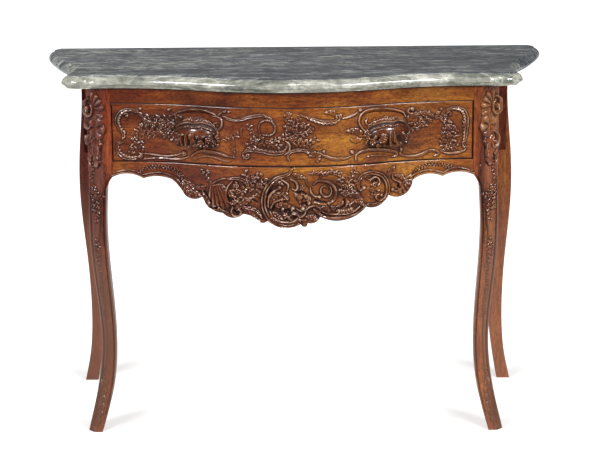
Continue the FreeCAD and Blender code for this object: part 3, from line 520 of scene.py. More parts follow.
def carve_drawer(board):
    """All ornament of the drawer front: bands first, then stems, leaves, flowers and ends on them."""
    for half_width, height, start, end, section, points in DRAWER_SCROLLS:
        board.scroll(lifted(points, DRAWER_LOW), half_width, height, start, end, section)
    for seed, (size, height, points) in enumerate(DRAWER_SPRAYS):
        board.spray(lifted(points, DRAWER_LOW), size, height, seed)
    for half_width, height, lobes, points in DRAWER_LEAVES:
        board.leaf(lifted(points, DRAWER_LOW), half_width, height, lobes)
    for x, z, radius, height, turn in DRAWER_FLOWERS:
        board.flower(x, DRAWER_LOW + z, radius, height, turn)
    for x, z, radius, start, turns in DRAWER_VOLUTES:
        board.volute(x, DRAWER_LOW + z, radius, start, turns)
    board.shell(52, DRAWER_LOW + 22, 3, 15, -75, 175, 7, 4.5)
    for x, z, reach in DRAWER_PUNCHED:
        board.stipple(x, DRAWER_LOW + z, reach, 1.3, x + 200)
    for x, z, radius in DRAWER_PEARLS:
        board.pearl(x, DRAWER_LOW + z, radius)


# ---------------------------------------------------------------- ornament of the apron
# Drops are below the drawer opening's edge. The outline is arcs from one end to the next, each
# through a middle point: x and drop of the middle, x and drop of the end.
APRON_OUTLINE = (
    (-391, 29, -351, 40), (-317, 34, -283, 40), (-265, 58, -254, 75), (-235, 84, -211, 76),
    (-197, 100, -164, 112), (-134, 122, -116, 112), (-97, 116, -75, 131), (-67, 131.5, -59, 127),
    (-24, 143, 19, 134), (27, 141, 35, 132), (48, 132.5, 64, 118), (116, 129, 171, 100),
    (200, 101, 222, 75), (249, 83, 279, 47), (312, 33, 351, 40), (391, 30, 422, 37),
)
APRON_START = 37.0
# The columns of these tables are those of the drawer's, with drops in place of heights.
APRON_SCROLLS = (
    # moulded edge, left and right
    (2.2, 3.4, 0.8, 0.8, "round", ((-421, 32), (-407, 23), (-386, 19), (-367, 22), (-355, 29))),
    (2.2, 3.4, 0.8, 0.8, "round", ((-353, 31), (-340, 28), (-318, 24), (-297, 25), (-279, 31),
        (-266, 42), (-256, 58))),
    (2.2, 3.4, 0.8, 0.8, "round", ((421, 32), (407, 23), (386, 19), (367, 22), (355, 29))),
    (2.2, 3.4, 0.8, 0.8, "round", ((353, 31), (338, 27), (316, 23), (296, 26), (280, 34), (270, 46),
        (258, 62))),
    # big C in the middle
    (5.5, 8.0, 0.5, 0.6, "double", ((-1, 3), (-6, 13), (-18, 19), (-33, 23), (-48, 35), (-60, 51),
        (-66, 71), (-66, 92), (-60, 110), (-50, 125), (-36, 134), (-20, 138), (-2, 137), (11, 132),
        (17, 124))),
    (3.4, 6.0, 0.5, 0.4, "round", ((-56, 93), (-55, 76), (-49, 62), (-38, 53), (-28, 48))),
    (3.2, 6.5, 0.5, 0.4, "round", ((-50, 96), (-44, 84), (-36, 78), (-24, 75), (-13, 74))),
    (5.0, 8.0, 0.7, 0.6, "crested", ((-52, 106), (-48, 118), (-39, 126), (-22, 130), (-6, 130),
        (6, 127), (12, 119), (10, 111), (2, 107), (-8, 112), (-9, 121), (-3, 125))),
    (3.2, 6.0, 0.6, 0.5, "round", ((-4, 27), (7, 33), (12, 44), (8, 53), (0, 50))),
    (3.0, 5.4, 0.5, 0.5, "round", ((-30, 26), (-18, 32), (-9, 41), (-12, 56))),
    # crossing S to the right
    (3.2, 6.4, 0.6, 0.4, "crested", ((8, 97), (19, 103), (31, 101), (40, 94), (54, 92), (65, 101),
        (76, 110), (84, 104))),
    (2.8, 5.6, 0.5, 0.5, "round", ((8, 107), (17, 117), (27, 111), (31, 102))),
    # spiral right of the middle
    (3.2, 6.0, 0.5, 0.6, "round", ((41, 47), (43, 59), (50, 67), (61, 70))),
    (4.0, 7.0, 0.4, 0.6, "crested", ((49, 41), (58, 33), (73, 34), (87, 39), (97, 51), (99, 66),
        (94, 80), (84, 86))),
    (2.8, 6.0, 0.5, 0.6, "round", ((87, 47), (90, 58), (85, 68), (74, 69), (66, 61), (66, 50),
        (74, 45), (81, 51))),
    # C in the right half
    (4.6, 7.0, 0.5, 0.6, "double", ((165, 54), (156, 58), (151, 47), (154, 33), (164, 23), (179, 19),
        (195, 22), (209, 30), (218, 44), (221, 60), (219, 74), (211, 86), (199, 93), (186, 96),
        (175, 94))),
    (2.8, 5.4, 0.5, 0.6, "round", ((170, 33), (180, 35), (190, 30), (198, 34), (202, 44), (198, 51))),
    (2.6, 5.0, 0.5, 0.5, "round", ((206, 74), (196, 73), (193, 80), (200, 87), (208, 84))),
    (3.8, 6.0, 0.5, 0.5, "crested", ((232, 64), (240, 69), (250, 67), (256, 60), (253, 50), (243, 43),
        (234, 38), (232, 29))),
    # low rim right
    (5.2, 7.5, 0.5, 0.6, "crested", ((63, 113), (79, 120), (102, 123), (127, 122), (146, 116),
        (161, 107), (170, 97))),
    (3.0, 5.0, 0.5, 0.5, "round", ((68, 105), (84, 111), (104, 113), (127, 113), (143, 107), (156, 97))),
    (3.6, 6.0, 0.5, 0.5, "double", ((49, 98), (58, 106), (66, 112))),
    # left half
    (2.4, 4.0, 0.4, 0.3, "crested", ((-190, 46), (-184, 43), (-176, 37), (-162, 31), (-149, 29))),
    (4.2, 6.6, 0.5, 0.5, "double", ((-149, 29), (-130, 27), (-116, 29), (-106, 36), (-102, 46),
        (-107, 53))),
    (3.2, 5.6, 0.5, 0.5, "round", ((-139, 35), (-149, 48), (-154, 64), (-152, 80), (-144, 87),
        (-135, 88), (-127, 82))),
    (3.4, 6.2, 0.5, 0.6, "round", ((-139, 97), (-142, 109), (-135, 117), (-124, 116), (-119, 108),
        (-123, 101), (-130, 104))),
    (3.6, 6.0, 0.5, 0.4, "crested", ((-203, 92), (-194, 97), (-180, 98), (-166, 104), (-150, 110))),
    # twigs over the right half
    (2.0, 4.0, 0.6, 0.4, "round", ((39, 15), (51, 12), (66, 14), (81, 14), (93, 11), (110, 18),
        (117, 13))),
    (1.8, 3.6, 0.6, 0.4, "round", ((66, 14), (66, 20), (64, 26))),
    (1.8, 3.6, 0.6, 0.4, "round", ((31, 25), (33, 37), (41, 47))),
)
APRON_SPRAYS = (
    # leaf bands on the moulded edge
    (6, 3.6, ((-361, 27), (-346, 16), (-327, 11), (-308, 11), (-284, 14), (-268, 22), (-257, 34))),
    (6, 3.6, ((375, 17), (358, 14), (340, 11), (322, 10), (304, 13), (286, 20))),
    # clusters between the scrolls, left and right
    (10, 5.4, ((-100, 62), (-96, 44), (-88, 26), (-72, 12))),
    (10, 5.0, ((-98, 42), (-105, 26), (-110, 10))),
    (10, 5.4, ((-88, 56), (-74, 44), (-60, 34))),
    (9, 5.0, ((-96, 66), (-80, 66), (-68, 58))),
    (9, 5.2, ((-122, 84), (-136, 74), (-141, 58), (-128, 44))),
    (9, 5.2, ((-112, 82), (-118, 66), (-112, 50))),
    (9, 5.2, ((122, 72), (126, 54), (132, 36), (146, 10))),
    (9, 5.0, ((118, 66), (113, 50), (111, 34), (112, 20))),
    (9, 5.0, ((132, 68), (142, 54), (147, 38))),
    (8, 4.8, ((100, 96), (112, 88), (124, 88), (138, 92))),
    (7, 4.2, ((40, 15), (52, 12), (66, 15), (82, 15), (94, 12), (108, 19))),
    (8, 4.8, ((-44, 68), (-30, 64), (-16, 64))),
    (7, 4.6, ((182, 66), (188, 54), (186, 42))),
    (7, 4.4, ((178, 80), (188, 72), (200, 66))),
)
APRON_LEAVES = (
    # big leaf that ends the left wing
    (11, 6.5, 6, ((-258, 38), (-246, 54), (-232, 66), (-212, 74))),
    (7, 5.0, 4, ((-250, 42), (-236, 52), (-222, 57), (-202, 50))),
    (8, 5.5, 4, ((-258, 46), (-250, 62), (-238, 78))),
    # left of the C
    (8, 6.0, 5, ((-132, 100), (-112, 84), (-92, 70))),
    (7, 5.8, 5, ((-120, 96), (-104, 99), (-84, 104), (-70, 120))),
    (5, 5.0, 4, ((-102, 104), (-90, 116), (-73, 128))),
    (5, 4.6, 5, ((-186, 46), (-197, 34), (-205, 22), (-212, 8))),
    (4, 4.0, 3, ((-200, 30), (-196, 20), (-198, 11))),
    (7, 5.0, 4, ((-170, 44), (-160, 54), (-158, 68))),
    (6, 4.8, 3, ((-146, 92), (-158, 96), (-168, 90))),
    (5, 4.4, 3, ((-212, 56), (-206, 64), (-208, 74))),
    # inside and round the big C
    (8, 6.6, 5, ((-42, 92), (-26, 88), (-8, 94), (0, 104))),
    (9, 6.0, 4, ((-46, 104), (-38, 116), (-22, 122))),
    (8, 5.8, 4, ((-50, 84), (-44, 66), (-28, 58))),
    (6, 5.6, 4, ((-46, 40), (-34, 34), (-20, 40))),
    (6, 5.6, 4, ((0, 14), (14, 20), (32, 25))),
    (6, 5.4, 3, ((4, 60), (14, 70), (18, 86))),
    (6, 5.4, 3, ((26, 64), (37, 74), (38, 90))),
    (7, 5.6, 4, ((30, 116), (44, 118), (60, 126))),
    (6, 5.2, 3, ((24, 124), (28, 130), (26, 138))),
    (6, 5.2, 3, ((66, 96), (78, 98), (86, 108))),
    # right half
    (8, 5.8, 5, ((112, 64), (126, 66), (144, 66), (160, 82))),
    (6, 5.2, 4, ((140, 86), (154, 86), (166, 98))),
    (6, 5.2, 4, ((236, 30), (250, 34), (262, 44), (267, 60))),
    (6, 4.6, 3, ((222, 20), (232, 14), (238, 6))),
)
APRON_FLOWERS = (
    (-129, 45, 6, 5.6, 0), (-142, 66, 7, 5.6, 20), (-127, 58, 7, 5.8, 40), (-135, 84, 6, 5.0, 0),
    (-88, 30, 7, 5.8, 0), (-75, 42, 6, 5.4, 30), (121, 47, 6, 5.8, 0), (132, 52, 7, 5.8, 30),
    (125, 63, 6, 5.6, 0), (22, 48, 6, 5.0, 0), (94, 98, 6, 4.8, 0), (184, 60, 6, 4.8, 0),
)
# Deep cuts between the forms: half width, depth, points.
APRON_CUTS = (
    (2.8, 8.0, ((-205, 64), (-198, 74), (-190, 87))),
    (2.2, 7.0, ((-193, 99), (-183, 102), (-174, 98))),
    (3.0, 8.0, ((-134, 107), (-129, 111))),
    (4.0, 9.0, ((-17, 104), (-9, 101), (-7, 110))),
    (3.0, 8.0, ((5, 120), (9, 116))),
    (3.0, 7.0, ((-47, 101), (-43, 90))),
    (2.6, 7.0, ((-58, 62), (-52, 54))),
    (2.6, 7.0, ((12, 60), (22, 58), (30, 63))),
    (2.6, 7.0, ((20, 87), (28, 85), (34, 89))),
    (2.4, 7.0, ((119, 80), (121, 92), (112, 98))),
    (2.4, 6.0, ((52, 78), (64, 82), (76, 84))),
    (2.4, 6.0, ((184, 42), (193, 40))),
    (2.2, 6.0, ((-150, 72), (-147, 82))),
    (2.2, 6.0, ((-92, 76), (-82, 82))),
    (2.2, 6.0, ((246, 56), (250, 62))),
)
APRON_PEARLS = (
    (-29, 47, 4.4), (-24, 75, 4.2), (-12, 73, 4.4), (-23, 99, 4.6), (1, 96, 5.0), (17, 70, 6.5),
    (24, 97, 5.0), (165, 54, 4.6), (206, 75, 4.0), (232, 64, 4.6), (160, 80, 3.6), (235, 12, 4.4),
    (62, 70, 4.4), (84, 86, 4.0), (-107, 53, 4.0), (-127, 82, 3.6), (17, 124, 5.0),
)


def apron_drop(x):
    """How far the apron hangs below the opening's edge: arcs through three points, one by one."""
    drop = np.full(x.shape, APRON_START)
    start = (-POST_IN, APRON_START)
    for mid_x, mid_drop, end_x, end_drop in APRON_OUTLINE:
        a, b, c = np.array(start), np.array((mid_x, mid_drop)), np.array((end_x, end_drop))
        turn = 2 * ((b[0] - a[0]) * (c[1] - a[1]) - (b[1] - a[1]) * (c[0] - a[0]))
        ab, ac = ((b - a) ** 2).sum(), ((c - a) ** 2).sum()
        centre_x = a[0] + ((c[1] - a[1]) * ab - (b[1] - a[1]) * ac) / turn
        centre_d = a[1] + ((b[0] - a[0]) * ac - (c[0] - a[0]) * ab) / turn
        radius = math.hypot(a[0] - centre_x, a[1] - centre_d)
        on_arc = (x >= a[0]) & (x <= c[0])
        root = np.sqrt(np.maximum(radius ** 2 - (x - centre_x) ** 2, 0))
        drop = np.where(on_arc, centre_d + math.copysign(1, b[1] - centre_d) * root, drop)
        start = (end_x, end_drop)
    return drop


def dropped(points):
    """Points with drops below the opening's edge, as places on the board."""
    return tuple((x, OPENING_LOW - drop) for x, drop in points)


def carve_apron(board):
    """All ornament of the apron, in the same order, and last the cuts between its forms."""
    for half_width, height, start, end, section, points in APRON_SCROLLS:
        board.scroll(dropped(points), half_width, height, start, end, section)
    for seed, (size, height, points) in enumerate(APRON_SPRAYS):
        board.spray(dropped(points), size, height, seed)
    for half_width, height, lobes, points in APRON_LEAVES:
        board.leaf(dropped(points), half_width, height, lobes)
    for x, drop, radius, height, turn in APRON_FLOWERS:
        board.flower(x, OPENING_LOW - drop, radius, height, turn)
    board.shell(-186, OPENING_LOW - 14, 32, 92, -100, -62, 5, 6.0)
    board.shell(-4, OPENING_LOW - 108, 6, 20, 95, 230, 6, 4.0)
    board.shell(250, OPENING_LOW - 44, 8, 32, -100, 30, 6, 5.0)
    board.reeds(dropped(((104, 106), (122, 107), (138, 103))), 6, 5.0, 6)
    for half_width, depth, points in APRON_CUTS:
        board.groove(dropped(points), half_width, depth)
    for x, drop, radius in APRON_PEARLS:
        board.pearl(x, OPENING_LOW - drop, radius)


# ---------------------------------------------------------------- finishes
def linear(code):
    """An sRGB colour code as linear numbers."""
    parts = [int(code[i:i + 2], 16) / 255 for i in (1, 3, 5)]
    return tuple(p / 12.92 if p <= 0.04045 else ((p + 0.055) / 1.055) ** 2.4 for p in parts) + (1.0,)


def add(tree, kind, inputs=None, ramp=None, **settings):
    """Adds one node: its settings, its inputs as values or as sockets to link, and a ramp's stops."""
    new = tree.nodes.new(kind)
    for key, value in settings.items():
        setattr(new, key, value)
    for key, value in (inputs or {}).items():
        if isinstance(value, bpy.types.NodeSocket):
            tree.links.new(value, new.inputs[key])
        else:
            new.inputs[key].default_value = value
    if ramp:
        stops = new.color_ramp.elements
        while len(stops) < len(ramp):
            stops.new(1.0)
        for stop, (place, code) in zip(stops, ramp):
            stop.position = place
            stop.color = linear(code)
    return new


def new_finish(name):
    """An empty material and its node tree."""
    finish = bpy.data.materials.new(name)
    finish.use_nodes = True
    finish.node_tree.nodes.clear()
    return finish, finish.node_tree


# Settings of a node that mixes two colours: its inputs are the share, the first and the second.
COVER = {"data_type": "RGBA", "blend_type": "MIX"}
TINT = {"data_type": "RGBA", "blend_type": "MULTIPLY"}

# Places on the front where the stain has worn to gold: x, height, reach, how much.
PALE_PATCHES = (
    (40.0, 668.0, 150.0, 0.3), (330.0, 830.0, 110.0, 0.6), (290.0, 640.0, 110.0, 0.3),
    (-250.0, 700.0, 90.0, 0.2), (110.0, 725.0, 90.0, 0.15), (285.0, 700.0, 40.0, 0.2),
    (-513.0, 755.0, 90.0, 0.75), (513.0, 775.0, 120.0, 0.95), (430.0, 825.0, 80.0, 0.3),
)
PATCH_FRONT = -210.0


def along_grain(tree, place, grain, across, along, settings):
    """A cloudy pattern drawn out along the grain: how many of its waves fit in a metre across the
    grain and along it."""
    waves = [across] * 3
    waves[grain] = along
    drawn_out = add(tree, "ShaderNodeMapping", {"Vector": place, "Scale": waves}).outputs[0]
    return add(tree, "ShaderNodeTexNoise", {"Vector": drawn_out, "Scale": 1.0, **settings}).outputs["Fac"]


def waxed_walnut(name, grain, dark, middle, light, glint_and_wear_colour, polish, coat):
    """French walnut, carved, stained and waxed for two centuries.

    The eye sees long brown fibres, a slow drift from red-brown to gold where the stain has worn,
    near black matte wax with painted shade in the recesses and on undersides, glossy edges with
    painted highlights and wear on the crests, a painted shadow under the slab, pores and a few
    worm holes. grain is the axis that the fibres follow, glint_and_wear_colour the colour of the
    painted highlights and wear on the crests, polish the specular level and coat the share of
    clear wax on the high wood, which falls to none in the recesses.
    """
    finish, tree = new_finish(name)
    place = add(tree, "ShaderNodeTexCoord").outputs["Object"]
    # fibres drawn 3 mm wide and 120 mm long, pores 0.9 mm wide and 25 mm long, and open pores drawn
    # as flecks 4 mm wide and 14 mm long, coarser than they are so that they show; the figure is
    # bands 40 mm wide and 450 mm long
    fibre = along_grain(tree, place, grain, 330.0, 8.0, {"Detail": 4.0, "Roughness": 0.6})
    pore = along_grain(tree, place, grain, 1100.0, 40.0, {"Detail": 2.0})
    fleck = along_grain(tree, place, grain, 250.0, 75.0, {"Detail": 3.0, "Roughness": 0.7})
    figure = along_grain(
        tree, place, grain, 26.0, 2.2, {"Detail": 5.0, "Roughness": 0.55, "Distortion": 0.8},
    )
    # clouds 140 mm wide in the stain
    patch = add(
        tree, "ShaderNodeTexNoise", {"Vector": place, "Scale": 7.0, "Detail": 4.0, "Roughness": 0.6},
    ).outputs["Fac"]
    wood = add(
        tree, "ShaderNodeValToRGB", {"Fac": figure}, ((0.28, dark), (0.47, middle), (0.7, light)),
    ).outputs[0]
    streak = add(
        tree, "ShaderNodeValToRGB", {"Fac": fibre}, ((0.3, "#8a7466"), (0.62, "#ffffff")),
    ).outputs[0]
    # the stain is redder to the left and in patches, and worn to orange to the right
    parts = add(tree, "ShaderNodeSeparateXYZ", {"Vector": place})
    drift = add(
        tree, "ShaderNodeMapRange",
        {"Value": parts.outputs["X"], "From Min": -0.5, "From Max": 0.5, "To Min": -0.28, "To Max": 0.28},
    ).outputs[0]
    worn = add(tree, "ShaderNodeMath", {0: patch, 1: drift}, operation="ADD").outputs[0]
    for patch_x, patch_z, reach, share in PALE_PATCHES:
        centre = (patch_x * MM, PATCH_FRONT * MM, patch_z * MM)
        off = add(tree, "ShaderNodeVectorMath", {0: place, 1: centre}, operation="DISTANCE").outputs["Value"]
        gold = add(
            tree, "ShaderNodeMapRange",
            {"Value": off, "From Min": reach * MM, "From Max": 0.2 * reach * MM, "To Max": share},
            interpolation_type="SMOOTHSTEP",
        ).outputs[0]
        worn = add(tree, "ShaderNodeMath", {0: worn, 1: gold}, operation="ADD").outputs[0]
    stain = add(
        tree, "ShaderNodeValToRGB", {"Fac": worn},
        ((0.25, "#b0605a"), (0.55, "#dcb8a0"), (0.8, "#fff0c8"), (1.0, "#fff8c0")),
    ).outputs[0]
    pore_mask = add(
        tree, "ShaderNodeValToRGB", {"Fac": pore}, ((0.34, "#3a2417"), (0.44, "#ffffff")),
    ).outputs[0]
    fleck_mask = add(
        tree, "ShaderNodeValToRGB", {"Fac": fleck}, ((0.36, "#6a4a3c"), (0.5, "#e8e0d8"), (0.64, "#ffffff")),
    ).outputs[0]
    # worm holes up to 2 mm across, about thirty on a square metre
    cells = add(tree, "ShaderNodeTexVoronoi", {"Vector": place, "Scale": 24.0})
    hole = add(
        tree, "ShaderNodeValToRGB", {"Fac": cells.outputs["Distance"]},
        ((0.02, "#1a0c06"), (0.032, "#ffffff")),
    ).outputs[0]
    # painted light with dark wax and wear, from the carving's heights: painted shade below nought, painted
    # highlights above
    depth = add(tree, "ShaderNodeAttribute", attribute_name="painted_light_and_wax").outputs["Fac"]
    carved = add(tree, "ShaderNodeAttribute", attribute_name="carved_share").outputs["Fac"]
    # carved places are tinted greyer and darker
    carved_tint = add(tree, "ShaderNodeMath", {0: carved, 1: 0.75}, operation="MULTIPLY").outputs[0]
    # shares of some layers: each rises from none at its first value to its most at its second
    bare, shade_and_wax, crest_glint_and_rub, low, slab_shadow = (
        add(
            tree, "ShaderNodeMapRange",
            {"Value": value, "From Min": none_at, "From Max": most_at, "To Max": most},
        ).outputs[0]
        for value, none_at, most_at, most in (
            (worn, 0.85, 1.4, 0.55),                    # golden wood where the stain has gone
            (depth, -0.1, -0.8, 0.93),                  # dark wax and painted shade in the recesses and on undersides
            (depth, 0.55, 1.3, 0.6),                    # painted highlights and wear on the crests
            (parts.outputs["Z"], 0.55, 0.4, 0.42),      # the lower legs are paler and greyer
            (parts.outputs["Z"], 0.829, 0.838, 0.8),    # painted shadow of the slab, right under it
        )
    )
    # the painted highlights and the wear on the crests show here and there, over about 24 mm at a time
    glint_patches = add(tree, "ShaderNodeTexNoise", {"Vector": place, "Scale": 42.0, "Detail": 2.0}).outputs["Fac"]
    glint_share = add(
        tree, "ShaderNodeMapRange",
        {"Value": glint_patches, "From Min": 0.42, "From Max": 0.6, "To Min": 0.15, "To Max": 1.0},
    ).outputs[0]
    glint_and_rub_here = add(tree, "ShaderNodeMath", {0: crest_glint_and_rub, 1: glint_share}, operation="MULTIPLY").outputs[0]
    # among these layers are painted shade with dark wax in the recesses, painted highlights with wear on the
    # crests and a painted shadow under the slab
    for share, layer, way in (
        (0.55, streak, TINT), (0.8, stain, TINT), (bare, linear("#d89440"), COVER),
        (0.7, pore_mask, TINT), (0.6, fleck_mask, TINT), (0.8, hole, TINT),
        (carved_tint, linear("#b49a8c"), TINT), (shade_and_wax, linear("#1e0a08"), COVER),
        (glint_and_rub_here, linear(glint_and_wear_colour), COVER), (low, linear("#7c5844"), COVER),
        (slab_shadow, linear("#1b0b0e"), COVER),
    ):
        wood = add(tree, "ShaderNodeMix", {0: share, 6: wood, 7: layer}, **way).outputs[2]
    rough_base = add(
        tree, "ShaderNodeMapRange",
        {"Value": carved, "From Min": 0.0, "From Max": 1.0, "To Min": 0.27, "To Max": 0.2},
    ).outputs[0]
    rough = add(
        tree, "ShaderNodeMath", {0: shade_and_wax, 1: 0.3, 2: rough_base}, operation="MULTIPLY_ADD",
    ).outputs[0]
    pore_bump = add(
        tree, "ShaderNodeBump", {"Height": pore_mask, "Strength": 0.25, "Distance": 0.0004},
    ).outputs[0]
    bump = add(
        tree, "ShaderNodeBump",
        {"Height": fibre, "Strength": 0.3, "Distance": 0.0005, "Normal": pore_bump},
    ).outputs[0]
    # clear wax is worn off the high wood to a gloss and stays dull where the dark wax and painted shade lie
    clear_wax = add(
        tree, "ShaderNodeMapRange",
        {"Value": shade_and_wax, "From Min": 0.0, "From Max": 0.9, "To Min": coat, "To Max": 0.0},
    ).outputs[0]
    shader = add(
        tree, "ShaderNodeBsdfPrincipled",
        {"Base Color": wood, "Roughness": rough, "Normal": bump, "IOR": 1.5,
         "Specular IOR Level": polish, "Coat Weight": clear_wax, "Coat Roughness": 0.12},
    )
    add(tree, "ShaderNodeOutputMaterial", {"Surface": shader.outputs[0]})
    return finish


def planed_oak(name, grain):
    """Oak for the parts that aren't seen, planed and left bare.

    The eye sees dry grey-brown wood with long darker fibres and open pores, and no gloss.
    """
    finish, tree = new_finish(name)
    place = add(tree, "ShaderNodeTexCoord").outputs["Object"]
    # fibres drawn 2.4 mm wide and 80 mm long, in bands 25 mm wide and 500 mm long
    fibre = along_grain(tree, place, grain, 420.0, 12.0, {"Detail": 3.0})
    figure = along_grain(tree, place, grain, 40.0, 2.0, {"Detail": 4.0, "Distortion": 0.6})
    wood = add(
        tree, "ShaderNodeValToRGB", {"Fac": figure}, ((0.3, "#6d4c2f"), (0.5, "#8d6a45"), (0.7, "#a5835b")),
    ).outputs[0]
    streak = add(
        tree, "ShaderNodeValToRGB", {"Fac": fibre}, ((0.32, "#7d6a58"), (0.6, "#ffffff")),
    ).outputs[0]
    wood = add(tree, "ShaderNodeMix", {0: 0.8, 6: wood, 7: streak}, **TINT).outputs[2]
    bump = add(tree, "ShaderNodeBump", {"Height": fibre, "Strength": 0.4, "Distance": 0.0005}).outputs[0]
    shader = add(
        tree, "ShaderNodeBsdfPrincipled",
        {"Base Color": wood, "Roughness": 0.72, "Normal": bump, "IOR": 1.5},
    )
    add(tree, "ShaderNodeOutputMaterial", {"Surface": shader.outputs[0]})
    return finish


def polished_marble():
    """Grey-green veined marble, ground and polished.

    The eye sees cloudy mid grey drawn out a little along the slab, with blue-grey bands, pale
    green-grey patches and thin white veins across them. The top is darker to the right, and the
    moulded edge is painted paler, as lit from the front.
    """
    finish, tree = new_finish("polished_grey_marble")
    place = add(tree, "ShaderNodeTexCoord").outputs["Object"]
    # clouds about 110 mm long, 23 mm from front to back and 38 mm high, in drifts four times as
    # large; each turn only keeps the pattern's own lattice off the slab's edges
    drawn_out = add(
        tree, "ShaderNodeMapping",
        {"Vector": place, "Rotation": (0.25, 0.2, 0.12), "Scale": (9.0, 44.0, 26.0)},
    ).outputs[0]
    clouds = add(
        tree, "ShaderNodeTexNoise",
        {"Vector": drawn_out, "Scale": 1.0, "Detail": 10.0, "Roughness": 0.68, "Distortion": 0.9},
    ).outputs["Fac"]
    drifts = add(
        tree, "ShaderNodeTexNoise",
        {"Vector": drawn_out, "Scale": 0.24, "Detail": 3.0, "Roughness": 0.5},
    ).outputs["Fac"]
    stone = add(
        tree, "ShaderNodeValToRGB", {"Fac": clouds},
        ((0.38, "#6a6e80"), (0.46, "#989ca2"), (0.54, "#c2c6ba"), (0.62, "#f0f2e4")),
    ).outputs[0]
    # the edge is mottled every 18 mm
    mottle = add(
        tree, "ShaderNodeTexNoise",
        {"Vector": place, "Scale": 55.0, "Detail": 6.0, "Roughness": 0.65, "Distortion": 0.6},
    ).outputs["Fac"]
    edge_clouds = add(tree, "ShaderNodeMix", {0: 0.3, 2: clouds, 3: mottle}).outputs[0]
    pale = add(
        tree, "ShaderNodeValToRGB", {"Fac": edge_clouds},
        ((0.36, "#4c504c"), (0.45, "#7a7c72"), (0.54, "#a09f94"), (0.64, "#dad8cc")),
    ).outputs[0]
    drift = add(
        tree, "ShaderNodeValToRGB", {"Fac": drifts}, ((0.38, "#9a9ca8"), (0.6, "#ffffff")),
    ).outputs[0]
    stone = add(tree, "ShaderNodeMix", {0: 0.8, 6: stone, 7: drift}, **TINT).outputs[2]
    # streaks 40 mm long and 20 mm wide
    streak_place = add(
        tree, "ShaderNodeMapping",
        {"Vector": place, "Rotation": (0, 0, 0.1), "Scale": (24.0, 46.0, 46.0)},
    ).outputs[0]
    streaks = add(
        tree, "ShaderNodeTexNoise",
        {"Vector": streak_place, "Scale": 1.0, "Detail": 5.0, "Roughness": 0.7, "Distortion": 1.2},
    ).outputs["Fac"]
    streak = add(
        tree, "ShaderNodeValToRGB", {"Fac": streaks},
        ((0.42, "#686a76"), (0.5, "#b2b4b8"), (0.58, "#ffffff")),
    ).outputs[0]
    stone = add(tree, "ShaderNodeMix", {0: 0.9, 6: stone, 7: streak}, **TINT).outputs[2]
    # a vein runs where a pattern of clouds 70 to 100 mm wide passes its middle value, and is 1 to
    # 2 mm wide there
    across = add(
        tree, "ShaderNodeMapping",
        {"Vector": place, "Rotation": (0.5, 0.3, 0.7), "Scale": (14.0, 20.0, 20.0)},
    ).outputs[0]
    veins = add(
        tree, "ShaderNodeTexNoise",
        {"Vector": across, "Scale": 0.7, "Detail": 6.0, "Roughness": 0.6, "Distortion": 0.7},
    ).outputs["Fac"]
    vein = add(
        tree, "ShaderNodeValToRGB", {"Fac": veins},
        ((0.485, "#000000"), (0.499, "#a0a0a0"), (0.501, "#a0a0a0"), (0.515, "#000000")),
    ).outputs[0]
    stone = add(tree, "ShaderNodeMix", {0: vein, 6: stone, 7: linear("#bfc3b8")}, **COVER).outputs[2]
    parts = add(tree, "ShaderNodeSeparateXYZ", {"Vector": place})
    below_top, in_front, shade = (
        add(
            tree, "ShaderNodeMapRange",
            {"Value": parts.outputs[axis], "From Min": none_at, "From Max": most_at, "To Max": most},
        ).outputs[0]
        for axis, none_at, most_at, most in (
            ("Z", 0.8695, 0.8665, 1.0), ("Y", 0.02, -0.1, 1.0), ("X", -0.5, 0.5, 0.75),
        )
    )
    # the front edge below the flat top is painted paler, as lit from the front, and the top is darker to the
    # right
    edge_share = add(tree, "ShaderNodeMath", {0: below_top, 1: in_front}, operation="MULTIPLY").outputs[0]
    stone = add(tree, "ShaderNodeMix", {0: shade, 6: stone, 7: linear("#9096a0")}, **TINT).outputs[2]
    pale = add(tree, "ShaderNodeMix", {0: vein, 6: pale, 7: linear("#e6e7dc")}, **COVER).outputs[2]
    stone = add(tree, "ShaderNodeMix", {0: edge_share, 6: stone, 7: pale}, **COVER).outputs[2]
    shader = add(
        tree, "ShaderNodeBsdfPrincipled",
        {"Base Color": stone, "Roughness": 0.14, "IOR": 1.5, "Specular IOR Level": 0.4},
    )
    add(tree, "ShaderNodeOutputMaterial", {"Surface": shader.outputs[0]})
    return finish


def forged_iron():
    """Hand-made iron screws and nails, dark with handling. The eye sees a dull dark grey metal."""
    finish, tree = new_finish("forged_iron")
    place = add(tree, "ShaderNodeTexCoord").outputs["Object"]
    patch = add(tree, "ShaderNodeTexNoise", {"Vector": place, "Scale": 400.0, "Detail": 3.0}).outputs["Fac"]
    # patches 2.5 mm wide
    colour = add(
        tree, "ShaderNodeValToRGB", {"Fac": patch}, ((0.35, "#2b2725"), (0.65, "#514b46")),
    ).outputs[0]
    rough = add(
        tree, "ShaderNodeMapRange",
        {"Value": patch, "From Min": 0.3, "From Max": 0.7, "To Min": 0.4, "To Max": 0.65},
    ).outputs[0]
    shader = add(
        tree, "ShaderNodeBsdfPrincipled", {"Base Color": colour, "Metallic": 1.0, "Roughness": rough},
    )
    add(tree, "ShaderNodeOutputMaterial", {"Surface": shader.outputs[0]})
    return finish


ALONG, DEEP, UPRIGHT = 0, 1, 2
# the fourth colour of each is that of the painted highlights and wear on its crests
walnut_along = waxed_walnut(
    "waxed_walnut_along", ALONG, "#683616", "#965a28", "#c48838", "#c8a88e", 0.3, 0.6,
)
walnut_upright = waxed_walnut(
    "waxed_walnut_upright", UPRIGHT, "#642d22", "#8e4e30", "#b87242", "#b89c88", 0.3, 0.35,
)
